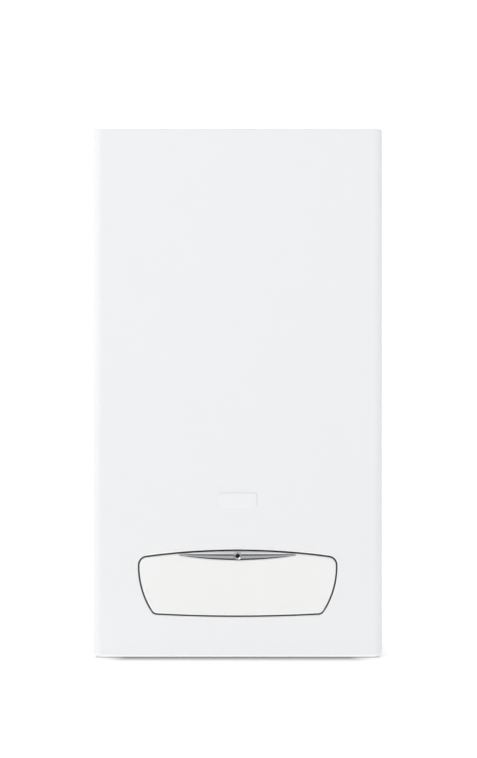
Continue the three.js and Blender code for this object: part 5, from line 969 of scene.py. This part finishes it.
class BOILER_OT_pipes(Operator):
    """Builds the bent copper pipes, the gas pipe, the pressure hose and their nuts and threads"""

    bl_idname = "boiler.pipes"
    bl_label = "Build Pipes"

    def execute(self, context):
        self.build_heating_pipes()
        bm = bmesh.new()
        x = -TAIL_STEP
        add_tube(bm, [(x, TAIL_Y, 26), (x, TAIL_Y, 80), (x, -66, 80)], 7.5, 11.0)
        rim = [(5.0, 10.5), (5.5, 10), (9.6, 10), (10.2, 10.8), (10.2, 27.2), (9.6, 28), (7.4, 28)]
        self.add_tail(bm, x, rim, 10.2, 0.5, 11.0)
        add_piece(bm, "hot_water_run", "copper", node="hot_water_pipe")
        bm = bmesh.new()
        add_tube(bm, [(0, TAIL_Y, 26), (0, TAIL_Y, GAS_CROSS_Z), (0, -208, GAS_CROSS_Z)], 8.0, 25.0)
        rim = [(6.0, 10.5), (6.5, 10), (12.2, 10), (13.0, 10.9), (13.0, 27), (12.2, 28), (7.8, 28)]
        self.add_tail(bm, 0, rim, 12.8, 0.6, 14.2)
        add_nut(bm, "y", (0, GAS_CROSS_Z), 13.0, 7.8, (-207.6, -196))
        add_piece(bm, "gas_pipe_run", "steel", node="gas_inlet_pipe")
        bm = bmesh.new()
        low, side = 647.9, 130
        route = [(31.3, FLUE_Y, TUBE_Z), (88, FLUE_Y, TUBE_Z), (side, FLUE_Y, low), (side, -115.6, low)]
        add_tube(bm, route, 3.5, 12, 16)
        for x in (34, 41):
            clip = [(3.4, x), (4.3, x + 0.6), (4.3, x + 2.4), (3.4, x + 3)]
            add_turned(bm, "x", (FLUE_Y, TUBE_Z), clip, 20)
        add_piece(bm, "pressure_hose", "silicone", node="pressure_tube")
        return {"FINISHED"}

    @staticmethod
    def build_heating_pipes():
        """The flow and return pipes from the valves up to the exchanger."""
        bore, nut = 8.6, 13.0
        for name, way, start in (("flow", -1, 150.3), ("return", 1, 204.3)):
            tail, side, top = way * PUMP_X, way * PIPE_X, start + nut
            bm = bmesh.new()
            route = [
                (tail, TAIL_Y, start),
                (tail, TAIL_Y, PIPE_CROSS_Z),
                (side, FIRE_Y, PIPE_CROSS_Z),
                (side, FIRE_Y, EXCHANGER_Z),
                (way * 122.3, FIRE_Y, EXCHANGER_Z),
            ]
            add_tube(bm, route, 9.0, 22.0, 28)
            add_nut(bm, "z", (tail, TAIL_Y), nut, bore, (start, top))
            collar = [(9, top), (10.4, top + 0.6), (10.4, top + 3), (9, top + 4.5)]
            add_turned(bm, "z", (tail, TAIL_Y), collar, 32)
            add_nut(bm, "x", (FIRE_Y, EXCHANGER_Z), nut, bore, (way * 129 - 5, way * 129 + 5))
            add_piece(bm, name + "_pipe_run", "copper", node=name + "_pipe")

    @staticmethod
    def add_tail(bm, x, rim, thread, depth, nut):
        """A threaded pipe end and its nut; rim is the end's section from its bore to its pipe."""
        centre, bore, pipe = (x, TAIL_Y), rim[0][0], rim[-1][0]
        add_turned(bm, "z", centre, [(bore, 24), *rim, (pipe, 26)], closed=True)
        add_thread(bm, "z", centre, thread, (11, 27), depth)
        add_nut(bm, "z", centre, nut, pipe, TAIL_NUT)


class BOILER_OT_threads(Operator):
    """Builds the threads on the three brass connections"""

    bl_idname = "boiler.threads"
    bl_label = "Build Threads"

    def execute(self, context):
        bm = bmesh.new()
        for place, radius in ((-2, 13.0), (1, 10.3), (2, 13.0)):
            add_thread(bm, "z", (place * TAIL_STEP, TAIL_Y), radius, (11, 27.5))
        add_piece(bm, "brass_threads", "brass")
        return {"FINISHED"}


class BOILER_OT_knobs(Operator):
    """Builds the two fluted control knobs with their pointers and scales"""

    bl_idname = "boiler.knobs"
    bl_label = "Build Knobs"

    def execute(self, context):
        seat = FASCIA_Y - 0.3
        for name, x in KNOB_PLACES.items():
            bm = bmesh.new()
            self.add_knob(bm, x, seat)
            add_piece(bm, name + "_knob_grip", "dark_plastic", name + "_dial", name + "_knob")
            bm = bmesh.new()
            pointer = (CONTROLS_Z + 3, CONTROLS_Z + 12.2)
            add_block(bm, (x - 0.7, x + 0.7), (seat - 14.12, seat - 13.4), pointer, 0.1)
            add_piece(bm, name + "_pointer", "dial_white", name + "_dial")
            bm = bmesh.new()
            centre, minor, main = (x, FASCIA_Y, CONTROLS_Z), (0.35, 19.0, 21.2), (0.35, 19.0, 22.4)
            add_scale(bm, centre, 9, 3, 1, (-0.12, 0.05), minor, main, 25.2, 4.6)
            add_piece(bm, name + "_scale", "dial_white")
        return {"FINISHED"}

    @staticmethod
    def add_knob(bm, x, seat):
        """A fluted skirt, a long finger grip and the shaft behind them."""
        centre = (x, CONTROLS_Z)
        turns, flutes = [2 * pi * i / 144 for i in range(144)], 24
        skirt = (
            (16.6, 0, 0), (17.0, 0.4, 0.5), (17.0, 3.2, 0.5),
            (16.4, 4.0, 0.4), (14.6, 4.4, 0), (13.8, 5.2, 0),
        )
        loops = []
        for radius, out, flute in skirt:
            rounds = [(radius - flute * (0.5 + 0.5 * cos(flutes * turn)), turn) for turn in turns]
            loops.append([along("y", centre, reach, turn, seat - out) for reach, turn in rounds])
        loft(bm, loops)
        loops = []
        for grow, out in ((0.6, 4.2), (0.0, 5.6), (-0.3, 12.4), (-0.9, 13.5), (-2.2, 14)):
            half, high = 4.5 + grow, 15.2 + grow
            quarter = [(half, high - 2), (half * 0.8, high - 0.7), (half * 0.3, high)]
            upper = quarter + [(-px, pz) for px, pz in reversed(quarter)]
            lower = [(-px, -pz) for px, pz in upper]
            outline = lower[-1:] + upper + lower[:-1]
            loops.append([Vector((x + px, seat - out, CONTROLS_Z + pz)) for px, pz in outline])
        loft(bm, loops)
        add_turned(bm, "y", centre, [(0, seat - 3), (3, seat - 3), (3, seat + 22), (0, seat + 22)], 24)


class BOILER_OT_gauge(Operator):
    """Builds the pressure gauge with its bezel, dial, numbers and needle"""

    bl_idname = "boiler.gauge"
    bl_label = "Build Gauge"

    def execute(self, context):
        centre, print_y = (GAUGE_X, CONTROLS_Z), GAUGE_FACE - 0.15
        body = [
            (1.6, GAUGE_FACE), (18.5, GAUGE_FACE), (18.5, -270.0), (18.9, -270.6), (20.2, -270.9),
            (22.0, -270.7), (22.8, -270.0), (23.0, -268.9), (23.0, -268.2), (19.9, -268.2),
            (19.9, -246.0), (18.5, -244.2), (1.6, -244.2),
        ]
        bm = bmesh.new()
        add_turned(bm, "y", centre, body, 72, closed=True)
        add_piece(bm, "gauge_housing", "dark_plastic", node="gauge_body")
        bm = bmesh.new()
        back = GAUGE_FACE + 0.05
        dial = [(1.7, back), (18.4, back), (18.4, print_y), (1.7, print_y)]
        add_turned(bm, "y", centre, dial, 64, closed=True)
        add_piece(bm, "gauge_dial", "dial_white")
        bm = bmesh.new()
        minor, main = (0.22, 15.2, 17.2), (0.4, 14.2, 17.2)
        add_scale(bm, (GAUGE_X, print_y, CONTROLS_Z), 16, 4, 4, (-0.1, 0.1), minor, main, 11.4, 4.2)
        add_piece(bm, "gauge_marks", "dial_ink")
        bm = bmesh.new()
        hub = [(0, -265.9), (1.6, -265.9), (2.4, -265.4), (2.5, -264.0), (1.2, -264.0)]
        hub += [(1.2, -259.2), (0, -259.2)]
        add_turned(bm, "y", centre, hub, 32)
        hand = ((1.1, -4.4), (0.35, 13.4), (0, 14), (-0.35, 13.4), (-1.1, -4.4))
        faces = (-265.3, -264.6)
        loft(bm, [[Vector((GAUGE_X + px, y, CONTROLS_Z + pz)) for px, pz in hand] for y in faces])
        add_piece(bm, "gauge_hand", "red_plastic", "gauge_pointer", "gauge_needle")
        return {"FINISHED"}


class BOILER_OT_screws(Operator):
    """Builds the screws of the chamber cover and the control front"""

    bl_idname = "boiler.screws"
    bl_label = "Build Screws"

    def execute(self, context):
        low, high, side = 298.0, 700.0, 186.5
        places = [(x, low + (high - low) * i / 5) for i in range(6) for x in (-side, side)]
        places += [(x, z) for x in (-112, -37.5, 37.5, 112) for z in (low, high)]
        bm = bmesh.new()
        for place in places:
            add_screw(bm, "y", place, COVER_Y, -1)
        for place in ((x, z) for x in (-163, 163) for z in (31, 163)):
            add_screw(bm, "y", place, FASCIA_Y, -1, 2.6)
        add_piece(bm, "cover_screws", "steel")
        return {"FINISHED"}


class BOILER_OT_pump(Operator):
    """Builds the pump motor with its cooling ribs and terminal box"""

    bl_idname = "boiler.pump"
    bl_label = "Build Pump Motor"

    def execute(self, context):
        front, rear = -184.3, -110.3
        ribs, pitch, root, crest = 10, 4.6, 32.5, 36
        profile = [(0, rear - 21), (3.4, rear - 21), (3.4, rear), (40, rear), (40, rear - 6.5)]
        profile += [(39, rear - 7.5), (34, rear - 8)]
        for y in (rear - 12 - pitch * i for i in range(ribs)):
            profile += [(root, y + 1.4), (crest, y + 1.0), (crest, y - 1.0), (root, y - 1.4)]
        profile += [(34, front + 8), (33.4, front + 3), (31, front + 0.6), (29, front)]
        profile += [(10, front), (9.4, front + 0.8), (0, front + 0.8)]
        bm = bmesh.new()
        add_turned(bm, "y", (PUMP_X, PUMP_Z), profile, 64)
        box_top, bolt_circle = PUMP_Z + 48, 36.5
        add_block(bm, (PUMP_X - 24, PUMP_X + 24), (-166, -128), (PUMP_Z + 20, box_top), 2.5)
        for place in ((PUMP_X + x, y) for x in (-18, 18) for y in (-160, -134)):
            add_screw(bm, "z", place, box_top, 1, 2.4)
        bolt = [(0, rear - 12), (2.6, rear - 12), (3.4, rear - 11.2), (3.4, rear - 7)]
        for turn in (radians(45 + 90 * i) for i in range(4)):
            spot = (PUMP_X + bolt_circle * cos(turn), PUMP_Z + bolt_circle * sin(turn))
            add_turned(bm, "y", spot, bolt, 16)
        add_piece(bm, "pump_motor_shell", "cast_iron", node="pump_motor")
        return {"FINISHED"}


class BOILER_OT_vessel(Operator):
    """Builds the flat expansion vessel with its rolled seam and connecting pipe"""

    bl_idname = "boiler.vessel"
    bl_label = "Build Expansion Vessel"

    def execute(self, context):
        half, low, high, corner = 150.0, 330.0, 650.0, 40.0
        front, rear, dome, pipe_y = -80.0, -6.3, 14.0, -40
        middle = (front + rear) / 2
        turns = [radians(15 * i) for i in range(7)]
        rise = [(dome * (1 - sin(turn)), dome * (1 - cos(turn))) for turn in turns]
        seam = ((0.0, -3), (-1.2, -2.6), (-2.6, -1.6), (-3.0, 0), (-2.6, 1.6), (-1.2, 2.6), (0.0, 3))
        steps = [(inset, front + depth) for inset, depth in rise]
        steps += [(inset, middle + back) for inset, back in seam]
        steps += [(inset, rear - depth) for inset, depth in reversed(rise)]
        loops = []
        for inset, y in steps:
            radius = corner - inset
            loops.append(rounded_rectangle(half - inset, low + inset, high - inset, radius, radius, y))
        bm = bmesh.new()
        loft(bm, loops)
        route = [(PUMP_X, pipe_y, low + dome), (PUMP_X, pipe_y, PUMP_Z), (PUMP_X, -61.7, PUMP_Z)]
        add_tube(bm, route, 5.0, 12.0, 20)
        add_piece(bm, "vessel_shell", "red_paint", node="expansion_vessel")
        return {"FINISHED"}


class BOILER_OT_gas_valve(Operator):
    """Builds the gas valve with its front plate, test points and coils"""

    bl_idname = "boiler.gas_valve"
    bl_label = "Build Gas Valve"

    def execute(self, context):
        front, rear, low, high = -262.6, -208.3, 185.3, 262.0
        plate = front - 1.6
        bm = bmesh.new()
        add_block(bm, (-30, 30), (front, rear), (low, high), 4.0)
        add_block(bm, (-23, 23), (plate, front + 1), (194, 253), 1.0)
        for place in ((x, z) for x in (-18, 18) for z in (199, 248)):
            add_screw(bm, "y", place, plate, -1, 2.6)
        point = [(5.4, 1.4), (5.4, 3.4), (4.6, 4.2), (2.6, 4.4), (2.2, 3.2), (0, 3.2)]
        for z, sides in ((214, 6), (233, 32)):
            add_turned(bm, "y", (0, z), [(radius, front - out) for radius, out in point], sides)
        cap = [(11.7, high - 1), (11.7, high + 3.2), (11, high + 4), (0, high + 4)]
        add_turned(bm, "z", (0, -249), cap, 36)
        coil = [(13, -1), (13, 9.6), (12.2, 10.8), (10, 11.6), (4.6, 12), (0, 12)]
        for x in (-15, 15):
            add_turned(bm, "z", (x, -222), [(radius, low - down) for radius, down in coil], 36)
        add_piece(bm, "gas_valve_block", "aluminium", node="gas_valve")
        return {"FINISHED"}


class BOILER_OT_flue_ends(Operator):
    """Builds the beaded flue outlet and the air ring with its screws"""

    bl_idname = "boiler.flue_ends"
    bl_label = "Build Flue Ends"

    def execute(self, context):
        sides, flange = 96, 719.3
        outlet = [
            (30, 701), (30, 737.6), (30.4, 738), (31.1, 738), (31.5, 737.6),
            (31.5, 728), (32.4, 727.2), (32.4, 724.8), (31.5, 724), (31.5, 703.4),
            (34.1, 703), (34.5, 702.6), (34.5, 701.4), (34.1, 701),
        ]
        air_ring = [
            (48.5, 708.3), (48.5, 735.6), (48.9, 736), (49.6, 736), (50, 735.6),
            (50, 729), (50.8, 728.2), (50.8, 726.2), (50, 725.4), (50, 721.2),
            (51.6, 719.5), (54, flange), (61.6, flange), (62, 718.9), (62, 717.7),
            (61.6, 717.3), (50, 717.3), (50, 708.7), (49.6, 708.3),
        ]
        bm = bmesh.new()
        add_turned(bm, "z", (0.0, FLUE_Y), outlet, sides, closed=True)
        add_piece(bm, "flue_outlet", "aluminium", node="flue_collar")
        bm = bmesh.new()
        add_turned(bm, "z", (0.0, FLUE_Y), air_ring, sides, closed=True)
        for turn in (radians(45 + 90 * i) for i in range(4)):
            add_screw(bm, "z", (56.5 * cos(turn), FLUE_Y + 56.5 * sin(turn)), flange, 1, 2.8)
        add_piece(bm, "air_ring", "aluminium", node="air_intake_ring")
        return {"FINISHED"}


class BOILER_OT_frame(Operator):
    """Finishes the bracket, the sheet frame, the flap hinges and the catch"""

    bl_idname = "boiler.frame"
    bl_label = "Finish Frame"

    def execute(self, context):
        return dress(FRAME_NODES)


class BOILER_OT_chamber(Operator):
    """Finishes the sealed chamber, the burner and the heat exchanger"""

    bl_idname = "boiler.chamber"
    bl_label = "Finish Chamber"

    def execute(self, context):
        return dress(CHAMBER_NODES)


class BOILER_OT_flue(Operator):
    """Finishes the flue hood, the fan and the air pressure switch"""

    bl_idname = "boiler.flue"
    bl_label = "Finish Flue Side"

    def execute(self, context):
        return dress(FLUE_NODES)


class BOILER_OT_water(Operator):
    """Finishes the pump's body, the valves and the plate exchanger"""

    bl_idname = "boiler.water"
    bl_label = "Finish Water Side"

    def execute(self, context):
        return dress(WATER_NODES)


class BOILER_OT_controls(Operator):
    """Finishes the control box, its front and its controls"""

    bl_idname = "boiler.controls"
    bl_label = "Finish Controls"

    def execute(self, context):
        return dress(CONTROL_NODES)


class BOILER_OT_stage(Operator):
    """Builds the pale floor, the soft light and the camera"""

    bl_idname = "boiler.stage"
    bl_label = "Build Stage"

    def execute(self, context):
        settings = context.scene.boiler_stage
        self.build_floor(context, settings)
        self.build_world(context, settings)
        self.build_lights(context, settings)
        self.build_camera(context, settings)
        context.scene.view_settings.view_transform = "Standard"
        return {"FINISHED"}

    @staticmethod
    def build_floor(context, settings):
        """A wide floor; the camera sees it with a painted shadow round the casing's foot, reflections see it
        painted darker further in front of the casing, and other rays see it glow at the bounce strength.
        """
        drop, near, far = -2.4, 900.0, 40000.0
        corners = ((-1, -1), (1, -1), (1, 1), (-1, 1))
        bm = bmesh.new()
        loops = [[(x * size, y * size, drop) for x, y in corners] for size in (near, far)]
        inner, outer = (add_loop(bm, points) for points in loops)
        bm.faces.new(inner)
        bridge(bm, inner, outer)
        floor = bpy.data.objects.new("floor", mesh_from(bm, "floor"))
        material = bpy.data.materials.new("floor")
        material.use_nodes = True
        tree = material.node_tree
        shader = tree.nodes["Principled BSDF"].inputs
        shader["Roughness"].default_value = 0.9
        shader["Specular IOR Level"].default_value = 0.1
        paler = tuple(min(1.0, c + 0.01) for c in settings.floor_colour)
        inputs = {"Color": (*settings.floor_colour, 1), "Second Color": (*paler, 1)}
        last = add_node(tree, "ShaderNodeGroup", inputs, node_tree=tone_drift_group()).outputs["Color"]
        # The camera sees the floor with a painted shadow round the casing's foot.
        foot = add_node(tree, "ShaderNodeGroup", {"Color": last}, node_tree=foot_shade_group())
        rays = add_node(tree, "ShaderNodeLightPath", {}).outputs
        seen_glow = 0.36
        glow = map_range(tree, rays["Is Camera Ray"], 0.0, 1.0, settings.bounce, seen_glow)
        place = add_node(tree, "ShaderNodeSeparateXYZ", {"Vector": object_place(tree)}).outputs["Y"]
        # Painted reflection: glossy rays see the floor darker the further it lies in front of the casing.
        painted_reflection_tone = map_range(tree, place, -1.4, -0.5, 0.03, 0.38)
        for ray, colour in (("Is Camera Ray", foot.outputs["Color"]), ("Is Glossy Ray", painted_reflection_tone)):
            last = mix_colours(tree, rays[ray], last, colour)
        tree.links.new(glow, shader["Emission Strength"])
        for label in ("Base Color", "Emission Color"):
            tree.links.new(last, shader[label])
        floor.data.materials.append(material)
        context.scene.collection.objects.link(floor)

    @staticmethod
    def build_world(context, settings):
        """Even light that fades across and from below, with a plain white seen by the camera."""
        world = bpy.data.worlds.new("studio")
        world.use_nodes = True
        context.scene.world = world
        tree = world.node_tree
        place = add_node(tree, "ShaderNodeTexCoord", {}).outputs["Generated"]
        split = add_node(tree, "ShaderNodeSeparateXYZ", {"Vector": place}).outputs
        strength = 1.0
        for axis, start, end, low, high in (
            ("X", -1.0, 1.0, settings.sky * 1.08, settings.sky * 0.64),
            ("X", -1.0, -0.65, 0.6, 1.0),
            ("X", 0.6, 1.0, 1.0, 0.6),
            ("Z", 0.0, 1.0, 1.0, 1.45),
            ("Y", -0.98, -0.94, 0.08, 1.0),
            ("Y", -0.9, -0.3, 0.8, 1.75),
        ):
            factor = map_range(tree, split[axis], start, end, low, high)
            strength = maths(tree, "MULTIPLY", strength, factor)
        light = tree.nodes["Background"]
        light.inputs["Color"].default_value = (0.992, 0.995, 1.0, 1)
        tree.links.new(strength, light.inputs["Strength"])
        seen = add_node(tree, "ShaderNodeBackground", {"Color": (1, 1, 1, 1), "Strength": 1.05})
        camera_ray = add_node(tree, "ShaderNodeLightPath", {}).outputs["Is Camera Ray"]
        shown = {0: camera_ray, 1: light.outputs["Background"], 2: seen.outputs["Background"]}
        mix = add_node(tree, "ShaderNodeMixShader", shown)
        tree.links.new(mix.outputs["Shader"], tree.nodes["World Output"].inputs["Surface"])

    @staticmethod
    def build_lights(context, settings):
        target = row_place(0, FRONT, HEIGHT / 2)
        for name, place, size, power in (
            ("key", (-1.9, -3.0, 1.9), 1.8, settings.key_power),
            ("fill", (2.2, -3.2, 0.6), 2.0, settings.key_power * 0.05),
        ):
            data = bpy.data.lights.new(name, "AREA")
            data.shape = "SQUARE"
            data.size = size
            data.energy = power
            lamp = bpy.data.objects.new(name, data)
            lamp.location = place
            lamp.rotation_mode = "QUATERNION"
            lamp.rotation_quaternion = (target - Vector(place)).to_track_quat("-Z", "Y")
            context.scene.collection.objects.link(lamp)

    @staticmethod
    def build_camera(context, settings):
        """The photograph's view: square on, with the casing at its place in the frame."""
        mm_per_pixel = 1.382
        width_pixels, height_pixels = 477, 758
        centre_x, casing_bottom = 237.7, 657.0
        data = bpy.data.cameras.new("camera")
        data.sensor_width = 36.0
        data.lens = data.sensor_width * settings.distance / (height_pixels * mm_per_pixel * MM)
        data.clip_start, data.clip_end = 0.05, 100.0
        camera = bpy.data.objects.new("camera", data)
        x = (width_pixels / 2 - centre_x) * mm_per_pixel
        z = (casing_bottom - height_pixels / 2) * mm_per_pixel
        camera.location = row_place(x, FRONT, z) - Vector((0, settings.distance, 0))
        camera.rotation_euler = (pi / 2, 0, 0)
        context.scene.collection.objects.link(camera)
        context.scene.camera = camera


class BOILER_PT_panel(Panel):
    """Lists the boiler's operators and settings"""

    bl_label = "Boiler"
    bl_idname = "BOILER_PT_panel"
    bl_space_type = "VIEW_3D"
    bl_region_type = "UI"
    bl_category = "Boiler"

    def draw(self, context):
        layout = self.layout
        for group in SETTINGS:
            settings = getattr(context.scene, group)
            box = layout.box()
            for name in settings.bl_rna.properties.keys():
                if name not in {"rna_type", "name"}:
                    box.prop(settings, name)
        for operator in OPERATORS:
            layout.operator(operator.bl_idname)


OPERATORS = (
    BOILER_OT_casing,
    BOILER_OT_flap,
    BOILER_OT_grip,
    BOILER_OT_badge,
    BOILER_OT_pipes,
    BOILER_OT_threads,
    BOILER_OT_knobs,
    BOILER_OT_gauge,
    BOILER_OT_screws,
    BOILER_OT_pump,
    BOILER_OT_vessel,
    BOILER_OT_gas_valve,
    BOILER_OT_flue_ends,
    BOILER_OT_frame,
    BOILER_OT_chamber,
    BOILER_OT_flue,
    BOILER_OT_water,
    BOILER_OT_controls,
    BOILER_OT_stage,
)
SETTINGS = {
    "boiler_casing": BoilerCasingSettings,
    "boiler_flap": BoilerFlapSettings,
    "boiler_colours": BoilerColourSettings,
    "boiler_stage": BoilerStageSettings,
}


def register():
    for item in (*SETTINGS.values(), *OPERATORS, BOILER_PT_panel):
        bpy.utils.register_class(item)
    for name, settings in SETTINGS.items():
        setattr(bpy.types.Scene, name, PointerProperty(type=settings))


def unregister():
    for name in SETTINGS:
        delattr(bpy.types.Scene, name)
    for item in (BOILER_PT_panel, *reversed(OPERATORS), *reversed(SETTINGS.values())):
        bpy.utils.unregister_class(item)


def main():
    register()
    for operator in OPERATORS:
        group, name = operator.bl_idname.split(".")
        getattr(getattr(bpy.ops, group), name)()
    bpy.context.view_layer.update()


if __name__ == "__main__":
    main()
